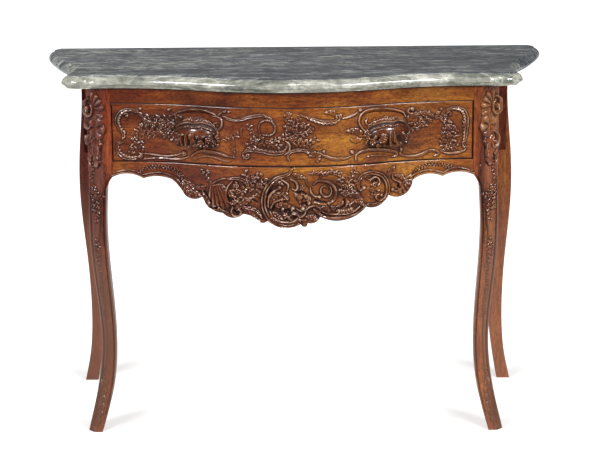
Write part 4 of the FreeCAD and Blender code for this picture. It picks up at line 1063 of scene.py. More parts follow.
# a darker copy without polish for the side aprons: painted shade, as they are seen in shadow
walnut_shaded_sides = waxed_walnut(
    "waxed_walnut_deep", DEEP, "#4a2420", "#5e3430", "#744438", "#744438", 0.0, 0.0,
)
oak_along = planed_oak("planed_oak_along", ALONG)
oak_deep = planed_oak("planed_oak_deep", DEEP)
marble = polished_marble()
iron = forged_iron()

NODE_FINISHES = (
    (marble, ("marble_top",)),
    (walnut_along, (
        "front_top_rail", "front_apron", "drawer_front", "left_pull", "right_pull", "tenon_pegs",
    )),
    (walnut_shaded_sides, ("left_side_apron", "right_side_apron")),
    (walnut_upright, ("front_left_leg", "front_right_leg", "back_left_leg", "back_right_leg")),
    (oak_along, ("back_rail", "drawer_back", "drawer_bottom", "corner_blocks")),
    (oak_deep, (
        "drawer_stops", "centre_bearer", "drawer_left_side", "drawer_right_side", "left_runner",
        "right_runner", "left_drawer_guide", "right_drawer_guide", "left_kicker", "right_kicker",
    )),
    (iron, ("pull_screws", "bottom_nails")),
)
for node_finish, node_names in NODE_FINISHES:
    for node_name in node_names:
        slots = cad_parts[node_name].data.materials
        slots.clear()
        slots.append(node_finish)


# ---------------------------------------------------------------- carved boards
# Places across and up each carved grid, and the distance between its rows for the painted light marks.
DRAWER_GRID, DRAWER_ROW_STEP = (706, 122), 1.13
APRON_GRID, APRON_ROW_STEP = (712, 120), 0.9
BACK_ROWS, EDGE_ROWS = 8, 5
# The apron's arches start this far from its middle. Their painted lines along the moulded edge:
# height over the lower edge, reach, painted light mark, a highlight above nought and shade below.
ARCH_START, ARCH_FADE = 240, 40
ARCH_PAINTED_LINES = ((3.2, 1.3, 1.3), (6.5, 1.2, -0.9), (9.5, 1.3, 0.9))


def board_section(x, front_z, relief, low, top):
    """Points round a serpentine board: up its carved face, over its top, down its back, under.

    The face stands out from the serpentine by the relief, along the serpentine's normal. The
    edges run straight through the board. x, low and top have one value per column, the rest one
    per place.
    """
    y, nx, ny = serpentine(x, OVERHANG)
    face = np.stack([x + relief * nx, y + relief * ny, front_z], axis=-1)
    back_y = serpentine(x, OVERHANG + BOARD)[0]
    back = np.stack([np.broadcast_to(x, face.shape[1:2]), back_y], axis=-1)
    through = np.linspace(0, 1, EDGE_ROWS + 2)[1:-1, None, None]
    back_top = np.concatenate([back, top[:, None]], axis=1)
    back_low = np.concatenate([back, low[:, None]], axis=1)
    over = face[-1] + (back_top - face[-1]) * through
    down = back_top + (back_low - back_top) * np.linspace(0, 1, BACK_ROWS)[:, None, None]
    under = back_low + (face[0] - back_low) * through
    return np.concatenate([face, over, down, under])


def board_piece(name, body, stands_for, loops, board, marks, plain_mark):
    """A carved board: its section runs down the rows and closes on itself, and the columns run along
    it. Its first rows are the face. The rest has one mark and no carving."""
    all_marks, carved = np.full(loops.shape[:2], plain_mark), np.zeros(loops.shape[:2])
    all_marks[:len(marks)] = marks
    carved[:len(marks)] = board.carved_share(board.relief())
    rows, columns = loops.shape[:2]
    start = (np.arange(rows) * columns)[None, :]
    faces = [grid_faces(rows, columns, round_rows=True), start, start[:, ::-1] + columns - 1]
    points = loops.reshape(-1, 3)
    make_piece(name, points, faces, walnut_along, body, stands_for, (all_marks, carved))


def carved_drawer_front():
    """The drawer's front board with its relief: a height for each place of a grid over the face."""
    columns, rows = DRAWER_GRID
    x = np.linspace(-DRAWER_HALF, DRAWER_HALF, columns)
    grid_x, grid_z = np.meshgrid(x, np.linspace(DRAWER_LOW, DRAWER_TOP, rows))
    board = Carving(grid_x, grid_z)
    carve_drawer(board)
    to_right = DRAWER_HALF - grid_x
    over_edge = grid_z - DRAWER_LOW
    to_edge = np.minimum(np.minimum(over_edge, DRAWER_TOP - grid_z), DRAWER_HALF - np.abs(grid_x))
    # all four edges are rounded back over their last 2 mm, and painted shade lies along them
    relief = board.relief() - 1.4 * bell(to_edge, 1.1)
    marks = board.painted_light_and_wax_marks(relief, DRAWER_ROW_STEP) - 1.1 * bell(to_edge, 2.0)
    # painted shadow of the gap below, widest and blackest in the middle, and of the gap beside it at the
    # right
    marks -= 1.2 * bell(over_edge, 1.4 + 2.4 * bell(grid_x, 230))
    marks -= 1.2 * bell(to_right, 2.4)
    low, top = np.full(x.shape, DRAWER_LOW), np.full(x.shape, DRAWER_TOP)
    loops = board_section(x, grid_z, relief, low, top)
    # the board's top, back and underside get painted shade as well
    board_piece("carved_drawer_front", "drawer", ("drawer_front",), loops, board, marks, -0.9)


def carved_apron():
    """The apron: each column of its face runs from the scrolled lower edge up to the opening."""
    columns, rows = APRON_GRID
    x = np.linspace(-POST_IN, POST_IN, columns)
    drop = apron_drop(x)
    share = np.linspace(0, 1, rows)[:, None]
    grid_z = OPENING_LOW - drop * (1 - share)
    grid_x = np.broadcast_to(x, grid_z.shape)
    board = Carving(grid_x, grid_z)
    carve_apron(board)
    relief = board.relief(4.5)
    relief[:, [0, -1]] = 0
    # both edges are rounded back over their last 2 to 4 mm
    rise = grid_z - (OPENING_LOW - drop)
    relief -= 2.4 * bell(rise, 1.6) + 1.2 * bell(OPENING_LOW - grid_z, 1.0)
    marks = board.painted_light_and_wax_marks(relief, APRON_ROW_STEP)
    # the moulded edge of the arches at both ends: two painted highlight lines with painted shade between
    arches = np.clip((np.abs(grid_x) - ARCH_START) / ARCH_FADE, 0, 1)
    for height, reach, mark in ARCH_PAINTED_LINES:
        marks += arches * mark * bell(rise - height, reach)
    loops = board_section(x, grid_z, relief, OPENING_LOW - drop, np.full(x.shape, OPENING_LOW))
    board_piece("carved_apron", "frame", ("front_apron",), loops, board, marks, 0.0)


# ---------------------------------------------------------------- legs
FRONT_LEG = (
    # share of the knee's height, kick outwards, width, cant of the outer corner
    (0.00, 17.0, 35.0, 15.0), (0.15, -4.5, 38.0, 14.0), (0.36, -16.5, 36.5, 15.0),
    (0.62, -4.0, 41.5, 20.0), (0.84, 2.0, 44.0, 32.0),
)
BACK_LEG = (
    (0.00, 19.0, 33.0), (0.09, 7.0, 31.0), (0.27, -3.5, 34.0), (0.52, 1.0, 36.0), (0.78, 13.5, 39.0),
)
# The bracket under the knee: its width, where it starts as a share of the knee's height, its bow.
BRACKET, BRACKET_START, BRACKET_BOW = 17.0, 0.94, 0.62
POST_PROUD = 1.5             # a front post stands this far before the boards
FORWARD_KICK = 1.25          # a front leg kicks forwards by this many times its kick outwards
HIP_RISE = 145.0             # a back leg is straight from this far above the knee
# Places on the round of each corner, as shares of it. Points on the sides of a front leg: inner
# side, front, cant, outer side, back.
ROUND = (0.0, 0.25, 0.5, 0.75)
LEG_SIDES, BACK_LEG_SIDES = (12, 26, 44, 26, 8), (8, 8, 8, 8)
LEG_ROWS, LEG_ROW_STEP, BACK_LEG_ROWS = 620, 1.36, 180


def bent_lath(heights, offsets, z, first_chord=True, upright_end=True):
    """Offset at heights z of a cubic spline through the points. Its slopes solve the equations that
    make the curvature run on through every point. It starts along its first chord, or free, and
    ends upright, or free."""
    h, y = np.diff(heights), np.asarray(offsets, float)
    chord = np.diff(y) / h
    n = len(y)
    matrix, side = np.zeros((n, n)), np.zeros(n)
    for i in range(1, n - 1):
        matrix[i, i - 1:i + 2] = (1 / h[i - 1], 2 / h[i - 1] + 2 / h[i], 1 / h[i])
        side[i] = 3 * (chord[i - 1] / h[i - 1] + chord[i] / h[i])
    matrix[0, :2], side[0] = ((1, 0), chord[0]) if first_chord else ((2, 1), 3 * chord[0])
    matrix[-1, -2:], side[-1] = ((0, 1), 0) if upright_end else ((1, 2), 3 * chord[-1])
    slope = np.linalg.solve(matrix, side)
    k = np.clip(np.searchsorted(heights, z) - 1, 0, n - 2)
    t = (z - np.asarray(heights)[k]) / h[k]
    cubic = y[k] * (1 + 2 * t) * (1 - t) ** 2 + y[k + 1] * t ** 2 * (3 - 2 * t)
    return cubic + h[k] * (slope[k] * t * (1 - t) ** 2 + slope[k + 1] * t ** 2 * (t - 1))


def bracketed(heights, offsets, shoulder, post, z):
    """Inner line of a leg: a free spline up to the shoulder, a bowed bracket up to the knee and
    straight on. The bracket is the parabola through shoulder, bow and knee."""
    start = KNEE * BRACKET_START
    lower = bent_lath(heights + [start], offsets + [shoulder], np.minimum(z, start), False, False)
    t = np.clip((z - start) / (KNEE - start), 0, 1)
    bow = post + (shoulder - post) * BRACKET_BOW
    bend = (bow - shoulder - (post - shoulder) * BRACKET_BOW) / (BRACKET_BOW * (BRACKET_BOW - 1))
    upper = shoulder + (post - shoulder) * t + bend * t * (t - 1)
    return np.where(z < start, lower, upper)


def rounded_section(corners, counts, radii):
    """Points round a leg at every height. corners is a list of (rows, 2) arrays, in order seen
    from above. Each side is straight between its two corners' rounds, and a round is the parabola
    that leaves both sides smoothly. counts are the points on each side, radii the rounds."""
    points = []
    total = len(corners)
    for i, (corner, count) in enumerate(zip(corners, counts)):
        before, after = corners[i - 1], corners[(i + 1) % total]
        to_next = after - corner
        to_next /= np.linalg.norm(to_next, axis=1)[:, None]
        from_last = corner - before
        from_last /= np.linalg.norm(from_last, axis=1)[:, None]
        enter = corner - from_last * radii[i][:, None]
        leave = corner + to_next * radii[i][:, None]
        for t in ROUND:
            points.append(enter * (1 - t) ** 2 + 2 * corner * t * (1 - t) + leave * t ** 2)
        stop = after - to_next * radii[(i + 1) % total][:, None]
        for t in np.arange(count) / count:
            points.append(leave + (stop - leave) * t)
    return np.stack(points, axis=1)


def leg_piece(name, section, z, marks, mirror, stands_for):
    """A closed leg from its outline at every height, with flat ends."""
    heights = np.broadcast_to(z[:, None, None], section.shape[:2] + (1,))
    points = np.concatenate([section, heights], axis=2)
    rows, columns = points.shape[:2]
    if mirror:
        points = points[:, ::-1] * (-1, 1, 1)
        marks = [m[:, ::-1] for m in marks]
    sides = grid_faces(rows, columns, round_columns=True)
    low = np.arange(columns)[None, ::-1]
    top = (np.arange(columns) + (rows - 1) * columns)[None, :]
    faces, points = [sides, low, top], points.reshape(-1, 3)
    make_piece(name, points, faces, walnut_upright, "frame", stands_for, marks, 50.0)


def carve_leg(board, front_edge, side_edge, left):
    """Ornament of a front leg on its unrolled face: (distance from the middle of the cant, height).
    Distances below zero lie on the front, above zero on the outer side."""
    # moulded edges, from the knee down to the foot
    board.scroll([(front_edge(z) + 3.2, z) for z in range(30, 640, 15)], 2.6, 2.8, 0.6, 0.7)
    board.groove([(front_edge(z) + 6.6, z) for z in range(40, 640, 20)], 1.1, 1.8)
    board.scroll([(front_edge(z) + 9.4, z) for z in range(460, 640, 15)], 1.8, 2.0, 0.4, 0.7)
    board.groove([(side_edge(z) - 3.5, z) for z in range(60, 560, 30)], 1.2, 1.8)
    # corner cartouche: a fan, below it a leaf of broad lobes and a narrowing tail
    board.plate(((6, 834), (-5, 790), (-8, 740), (0, 680)), 24, 3.0, 3)
    board.plate(((8, 712), (0, 694), (-3, 672), (0, 652)), 15, 7.0, 3)
    board.shell(8, 786, 3, 40, 84, 184, 4, 9.0)
    board.leaf(((-4, 768), (-16, 769), (-29, 771)), 7, 8.0, 3)
    board.leaf(((-4, 716), (-14, 708), (-24, 703)), 8, 8.0, 3)
    board.leaf(((2, 694), (-5, 682), (-10, 667)), 7, 7.0, 3)
    board.shell(-2, 741, 1, 32, 108, 262, 3, 9.5)
    board.shell(-4, 741, 1, 25, -75, 72, 2, 8.0)
    # shadow line cut round the cartouche on the drawer's side
    shadow = (
        (-14, 836), (-27, 822), (-33, 800), (-35, 770), (-34, 742), (-30, 716), (-18, 694), (-14, 672),
        (-10, 652),
    )
    board.groove(shadow, 2.4, 2.6)
    # ring volute with its pearl, and the one below it
    ring = (
        (6, 806), (18, 808), (31, 800), (36, 786), (30, 772), (18, 768), (8, 776), (6, 790), (14, 799),
    )
    board.scroll(ring, 4.6, 12.0, 0.5, 0.6, "crested")
    board.pearl(22, 785, 6.5, 12.0)
    if left:
        lower_ring = ((34, 764), (38, 752), (32, 741), (20, 738), (12, 746))
        board.scroll(lower_ring, 4.4, 10.5, 0.5, 0.6, "crested")
        board.shell(20, 698, 4, 26, -10, 150, 6, 10.0)
    else:
        lower_ring = (
            (6, 726), (14, 724), (25, 715), (26, 700), (18, 688), (8, 691), (5, 702), (12, 710),
        )
        board.scroll(lower_ring, 4.4, 11.0, 0.5, 0.6, "crested")
        board.pearl(17, 700, 4.5, 10.0)
    board.leaf(((10, 690), (20, 678), (24, 662), (20, 646)), 7, 7.0, 4)
    # drop below it, and the flower spray at the knee
    board.spray(((4, 664), (12, 646), (19, 628), (24, 606)), 8, 4.6, 1)
    board.spray(((16, 604), (8, 590), (-6, 578), (-22, 574)), 9, 4.6, 2)
    board.spray(((20, 600), (22, 580), (14, 560), (8, 540)), 9, 4.6, 3)
    board.spray(((4, 572), (-6, 556), (-8, 536), (-2, 516)), 8, 4.0, 4)
    board.flower(14, 586, 7, 5.6, 0)
    board.flower(2, 574, 6, 5.2, 40)
    # leaf that runs from the bracket up the front
    board.leaf(((front_edge(600) + 8, 604), (front_edge(630) + 20, 634), (-24, 650), (-8, 664)), 6, 2.4, 6)
    # second drop
    board.spray(((2, 478), (0, 460), (-4, 440), (-4, 414)), 9, 4.4, 5)
    board.spray(((-8, 470), (-10, 450), (-6, 430)), 7, 4.0, 6)
    board.flower(2, 450, 6, 5.0, 0)
    board.flower(-7, 438, 5, 4.6, 30)
    board.spray(((-4, 414), (-6, 384), (-3, 350), (-6, 316), (-4, 280)), 6, 3.2, 7)
    # leaf on the foot
    board.leaf(((2, 126), (0, 92), (-3, 54), (-6, 4)), 15, 4.4, 7)
    board.scroll(((2, 126), (-1, 92), (-4, 54), (-6, 6)), 2.0, 5.4, 0.4, 0.6)
    board.spray(((-2, 150), (1, 138), (2, 124)), 7, 3.2, 8)


def front_leg_piece(name, left, stands_for):
    """A front leg: five-sided at every height, its outer corner canted, with carving laid over the
    front, the cant and the side as if they were unrolled."""
    z = np.linspace(0, FRAME_TOP, LEG_ROWS)
    heights = [KNEE * row[0] for row in FRONT_LEG]
    post_face = serpentine(np.array([POST_IN]), OVERHANG)[0][0] - POST_PROUD
    post_rear = post_face + POST_DEPTH
    level = np.minimum(z, KNEE)
    top = heights + [KNEE]
    x_out = bent_lath(top, [POST_OUT + r[1] for r in FRONT_LEG] + [POST_OUT], level)
    x_in = bracketed(heights, [POST_OUT + r[1] - r[2] for r in FRONT_LEG], POST_IN + BRACKET, POST_IN, z)
    front_line = [post_face - r[1] * FORWARD_KICK for r in FRONT_LEG]
    y_front = bent_lath(top, front_line + [post_face], level)
    back_line = [y + r[2] for y, r in zip(front_line, FRONT_LEG)]
    y_back = bracketed(heights, back_line, post_rear - BRACKET / 2, post_rear, z)
    cant = bent_lath(top, [r[3] for r in FRONT_LEG] + [POST_CANT], level)
    corners = [np.stack(c, axis=1) for c in (
        (x_in, y_back), (x_in, y_front), (x_out - cant, y_front), (x_out, y_front + cant), (x_out, y_back),
    )]
    small = np.full(z.shape, 2.5)
    soft = np.interp(z, (0, 200, 500, 640, 840), (5, 6, 6, 2.5, 2.5))
    section = rounded_section(corners, LEG_SIDES, (small, small, soft, soft, small))
    around = np.roll(section, -1, axis=1) - section
    run = np.cumsum(np.linalg.norm(around, axis=2), axis=1)
    run = np.concatenate([np.zeros((len(z), 1)), run[:, :-1]], axis=1)
    # first points of the rounds before the front, before the cant and behind it
    front = len(ROUND) + LEG_SIDES[0]
    cant_start = front + len(ROUND) + LEG_SIDES[1]
    cant_stop = cant_start + len(ROUND) + LEG_SIDES[2]
    middle = (run[:, cant_start] + run[:, cant_stop]) / 2
    unrolled = run - middle[:, None]
    columns = unrolled.shape[1]
    board = Carving(unrolled, np.broadcast_to(z[:, None], unrolled.shape))

    def front_edge(height):
        return np.interp(height, z, unrolled[:, front])

    def side_edge(height):
        return np.interp(height, z, unrolled[:, cant_stop])

    carve_leg(board, front_edge, side_edge, left)
    relief = board.relief()
    # the inner side and the back are plain
    plain_back = columns - LEG_SIDES[4]
    relief[:, :front - 2] = 0
    relief[:, plain_back - 2:] = 0
    tangent = np.roll(section, -1, axis=1) - np.roll(section, 1, axis=1)
    tangent /= np.linalg.norm(tangent, axis=2)[:, :, None]
    outward = np.stack([tangent[:, :, 1], -tangent[:, :, 0]], axis=2)
    marks = board.painted_light_and_wax_marks(relief, LEG_ROW_STEP)
    # painted shade, with some dark wax, lies along the edges of the lower leg: a broad band along
    # the front's and the cant's outer edge, and a line along both edges of the cant
    below_knee = np.clip((KNEE - z) / 40, 0, 1)[:, None]
    from_front, from_side = unrolled - unrolled[:, [front]], unrolled - unrolled[:, [cant_stop]]
    marks -= 0.32 * (bell(from_front, 8) + bell(from_side, 8)) * below_knee
    marks -= 0.5 * bell(from_side + 2, 2) * below_knee
    marks -= 0.9 * bell(unrolled - unrolled[:, [cant_start + 2]], 2.4) * below_knee
    # on the posts the painted shade and highlights are weaker and a little lighter all over, and plain stain
    # lies over most of their carving
    marks = np.where((z > 690)[:, None], 0.7 * marks + 0.1, marks)
    marks[:, :front - len(ROUND)] = 0
    marks[:, plain_back:] = 0
    carved = board.carved_share(relief) * np.interp(z, (620, 680), (1, 0.25))[:, None]
    leg_piece(name, section + outward * relief[:, :, None], z, (marks, carved), left, stands_for)


def back_leg_piece(name, left, stands_for):
    """A back leg: four-sided, sawn to curves on three sides and flat to the wall."""
    z = np.linspace(0, FRAME_TOP, BACK_LEG_ROWS)
    heights = [KNEE * row[0] for row in BACK_LEG]
    level = np.minimum(z, KNEE)
    hip = KNEE + HIP_RISE
    outer = [BACK_OUT + r[1] for r in BACK_LEG] + [BACK_OUT + 11, BACK_OUT]
    x_out = bent_lath(heights + [0.97 * KNEE, hip], outer, np.minimum(z, hip))
    x_in = bracketed(heights, [BACK_OUT + r[1] - r[2] for r in BACK_LEG], BACK_IN + BRACKET, BACK_IN, z)
    y_front = bent_lath(heights + [KNEE], [FRAME_BACK - r[2] for r in BACK_LEG] + [BACK_FACE], level, False)
    y_back = np.full(z.shape, FRAME_BACK)
    corners = [np.stack(c, axis=1) for c in (
        (x_in, y_back), (x_in, y_front), (x_out, y_front), (x_out, y_back),
    )]
    small = np.full(z.shape, 2.0)
    section = rounded_section(corners, BACK_LEG_SIDES, (small,) * 4)
    leg_piece(name, section, z, (), left, stands_for)


# ---------------------------------------------------------------- marble slab
EDGE_MOULDING = (
    # (drop below the top, inset from the widest outline), one run for each member of the moulding
    ((0.0, 15.0), (0.6, 14.4), (2.5, 13.2), (4.0, 10.5)),
    ((4.0, 10.5), (6.5, 6.6), (10.5, 2.8), (15.0, 0.6), (18.5, 0.0), (21.0, 1.2), (22.5, 4.0)),
    ((22.5, 6.5), (25.0, 7.5), (27.0, 9.5), (28.2, 12.0)),
    ((28.2, 12.0), (30.0, 12.0)),
)


def tangent_circle(a, b, signed, side):
    """A circle that touches circles a and b. A circle is (x, y, radius), negative where hollow."""
    near, far = abs(signed - a[2]), abs(signed - b[2])
    gap = math.hypot(b[0] - a[0], b[1] - a[1])
    along = (near ** 2 - far ** 2 + gap ** 2) / (2 * gap)
    across = side * math.sqrt(near ** 2 - along ** 2)
    ux, uy = (b[0] - a[0]) / gap, (b[1] - a[1]) / gap
    return a[0] + along * ux - across * uy, a[1] + along * uy + across * ux, signed


# The outline is circles that touch: radii, and how far the nose and the whole slab reach.
EAR_RADIUS, CREASE_RADIUS, NOSE_RADIUS, NECK_RADIUS = 65.0, 3.0, 30.0, 215.0
FLANK_RADIUS, LOBE_RADIUS = 700.0, 60.0
NOSE_REACH, MARBLE_HALF = 534.0, 616.0
EAR_FORWARD = 9.0            # how far the ear stands before the hollow beside it
LOBE_BEHIND = 22.5           # how far the back corner's circle runs past the wall
PAST_WALL = 4.0              # the outline is carried this far past the wall and cut off there
FLAT_MIDDLE = 40.0           # y of the flat's middle


def marble_rim():
    """The slab's outline as circles that touch: centre, signed radius and outward normal of each
    place round it, from the left back corner over the front to the right one."""
    turn, flank_turn = math.radians(27.0), math.radians(9.0)
    nose_x = NOSE_REACH - NOSE_RADIUS
    to_nose, to_flank = EAR_RADIUS - NOSE_RADIUS, FLANK_RADIUS - LOBE_RADIUS
    ear = (nose_x - to_nose * math.sin(turn), HOLLOW_Y - EAR_FORWARD + EAR_RADIUS, EAR_RADIUS)
    nose = (nose_x, ear[1] - to_nose * math.cos(turn), NOSE_RADIUS)
    lobe = (MARBLE_HALF - LOBE_RADIUS, MARBLE_BACK - LOBE_RADIUS + LOBE_BEHIND, LOBE_RADIUS)
    flank_x, flank_y = lobe[0] - to_flank * math.cos(flank_turn), lobe[1] + to_flank * math.sin(flank_turn)
    flank = (flank_x, flank_y, FLANK_RADIUS)
    middle = (0.0, MARBLE_FRONT + FRONT_RADIUS, FRONT_RADIUS)
    hollow = (HOLLOW_X, HOLLOW_Y - FRONT_RADIUS, -FRONT_RADIUS)
    crease = tangent_circle(hollow, ear, -CREASE_RADIUS, 1)
    neck = tangent_circle(nose, flank, -NECK_RADIUS, -1)
    right = [hollow, crease, ear, nose, neck, flank, lobe]
    chain = [(-x, y, r) for x, y, r in reversed(right)] + [middle] + right
    normals = [
        ((a[0] - b[0]) / (b[2] - a[2]), (a[1] - b[1]) / (b[2] - a[2])) for a, b in zip(chain, chain[1:])
    ]
    rise = (MARBLE_BACK + PAST_WALL - lobe[1]) / lobe[2]
    run = math.sqrt(1 - rise ** 2)
    normals = [(-run, rise)] + normals + [(run, rise)]
    places = []
    for (x, y, r), start, stop in zip(chain, normals, normals[1:]):
        a = math.atan2(start[1], start[0])
        swing = (math.atan2(stop[1], stop[0]) - a + math.pi) % (2 * math.pi) - math.pi
        count = max(8, round(abs(r * swing) / 4))
        angle = a + swing * np.arange(count) / count
        full = np.ones(count)
        places.append(np.stack([x * full, y * full, r * full, np.cos(angle), np.sin(angle)]))
    places.append(np.array([[lobe[0]], [lobe[1]], [lobe[2]], [run], [rise]]))
    return np.concatenate(places, axis=1)


def marble_slab():
    """The slab: its edge moulding carried round the outline, closed by one flat face above and
    one below, and cut off straight at the wall."""
    x, y, r, nx, ny = marble_rim()
    profile = np.vstack([smooth(run, 0.6) for run in EDGE_MOULDING])[::-1]
    rings = []
    for drop, inset in profile:
        rim_x, rim_y = x + (r - inset) * nx, y + (r - inset) * ny
        level = np.full(x.shape, TABLE_HEIGHT - drop)
        rings.append(np.stack([rim_x, np.minimum(rim_y, MARBLE_BACK), level], axis=1))

    def inwards(ring):
        """The ring drawn in by a hundredth, so that the flat that starts there keeps its shading."""
        return ring + (np.array((0.0, FLAT_MIDDLE, ring[0, 2])) - ring) * 0.01

    points = np.stack([inwards(rings[0])] + rings + [inwards(rings[-1])])
    rows, columns = points.shape[:2]
    below = np.arange(columns)[None, ::-1]
    above = (np.arange(columns) + (rows - 1) * columns)[None, :]
    faces, points = [grid_faces(rows, columns, round_columns=True), below, above], points.reshape(-1, 3)
    make_piece("veined_marble_slab", points, faces, marble, "frame", ("marble_top",), (), 35.0)


# ---------------------------------------------------------------- drawer pulls
PULL_X, PULL_RISE = 218.0, 62.0
PULL_SIZE = (54.0, 40.0, 48.0)         # half width, depth and height of the hood
HOLLOW_SIZE = (40.0, 30.0, 26.0)       # of the finger hollow inside
HOOD_COLUMNS, HOOD_ROWS, HEM_ROWS = 150, 80, 20
HEM_WAVED = 8                          # rows of the hem that its waves reach
UNROLLED_ROUND, UNROLLED_UP = 48.0, 46.0
PULL_ROW_STEP = 0.9

# Ornament of the pulls on the unrolled hood: (distance round it, distance up from its widest).
# Flowers: place, radius. Curls: place, radius, start in degrees. Cuts: half width, points.
LEFT_PULL = {
    "flowers": ((20, -6, 8), (36, 0, 7), (32, -14, 6), (50, -7, 7), (61, 5, 6), (9, -13, 6)),
    "curls": ((-36, 14, 5, 200), (-21, 17, 4, 90), (-5, 15, 6, 250), (12, 13, 4, 20),
              (27, 15, 5, 160), (44, 13, 5, 60)),
    "leaves": (((-72, 20), (-63, 4), (-60, -15)), ((-57, 12), (-50, -2), (-48, -17)),
               ((-45, 12), (-38, 2), (-35, -12)), ((66, 16), (69, 0), (62, -15)),
               ((40, 10), (45, 2), (44, -8))),
    "flutes": (((-13, 12), (-15, 2), (-13, -13)), ((-27, 8), (-28, -2), (-25, -16))),
    "cuts": ((3.2, ((-21, 9), (-20, -13))), (2.8, ((-7, 9), (-7, -12))), (3.8, ((9, 5), (12, -3))),
             (2.6, ((28, 4), (26, -8))), (2.8, ((-42, 5), (-41, -6))), (2.2, ((55, 8), (54, -1)))),
}
RIGHT_PULL = {
    "flowers": ((-58, 1, 7), (-45, -6, 8), (-24, -2, 7), (41, -3, 7), (54, 4, 6), (49, -12, 6),
                (-60, 13, 5)),
    "curls": ((-33, -12, 7, 0), (-52, 15, 5, 120), (-38, 12, 5, 210), (-21, 14, 5, 40),
              (28, 15, 5, 100), (45, 12, 4, 200)),
    "leaves": (((64, 18), (69, 4), (64, -12)), ((-70, 16), (-69, 2), (-62, -13)),
               ((30, 8), (35, 0), (33, -12)), ((-16, 12), (-15, 4), (-18, -8))),
    "flutes": (((-4, 15), (-6, 1), (-4, -17)), ((4, 14), (4, 4), (3, -8))),
    "cuts": ((3.2, ((-12, 6), (-12, -15))), (5.5, ((15, 2), (19, -7))), (2.6, ((36, 6), (38, -8))),
             (2.4, ((-32, 4), (-34, -2))), (2.6, ((-52, 6), (-53, -3))), (2.6, ((2, -8), (6, -14)))),
}
PULL_CREST = (
    (-68, 6), (-62, 21), (-48, 31), (-31, 38), (-12, 43), (5, 41), (21, 44), (39, 38), (55, 28), (66, 12),
)
PULL_CROWN = (
    (-52, 45, 6, 30), (-36, 50, 5, 300), (-21, 55, 7, 80), (-3, 54, 5, 200), (13, 57, 7, 330),
    (31, 52, 5, 110), (47, 45, 6, 240),
)


def carve_pull(board, layout):
    """A ruffled crest over a smooth hood, and below it openings between flowers and flutes."""
    for s, up, radius, start in PULL_CROWN:
        board.curl(s, up, radius, start, 3.5)
    board.scroll(PULL_CREST, 5.0, 5.5, 0.6, 0.6, "frill_left")
    board.reeds(tuple((0.86 * s, 0.72 * up) for s, up in PULL_CREST), 3.0, 2.2, 13)
    for half_width, points in layout["cuts"]:
        board.groove(points, half_width, 8.0)
    for points in layout["flutes"]:
        board.scroll(points, 2.0, 2.6, 0.5, 0.9)
    for points in layout["leaves"]:
        board.leaf(points, 6, 6.5, 4)
    for s, up, radius in layout["flowers"]:
        board.flower(s, up, radius, 7.0, 50 * s)
    for s, up, radius, start in layout["curls"]:
        board.curl(s, up - 6, radius, start, 4.0)


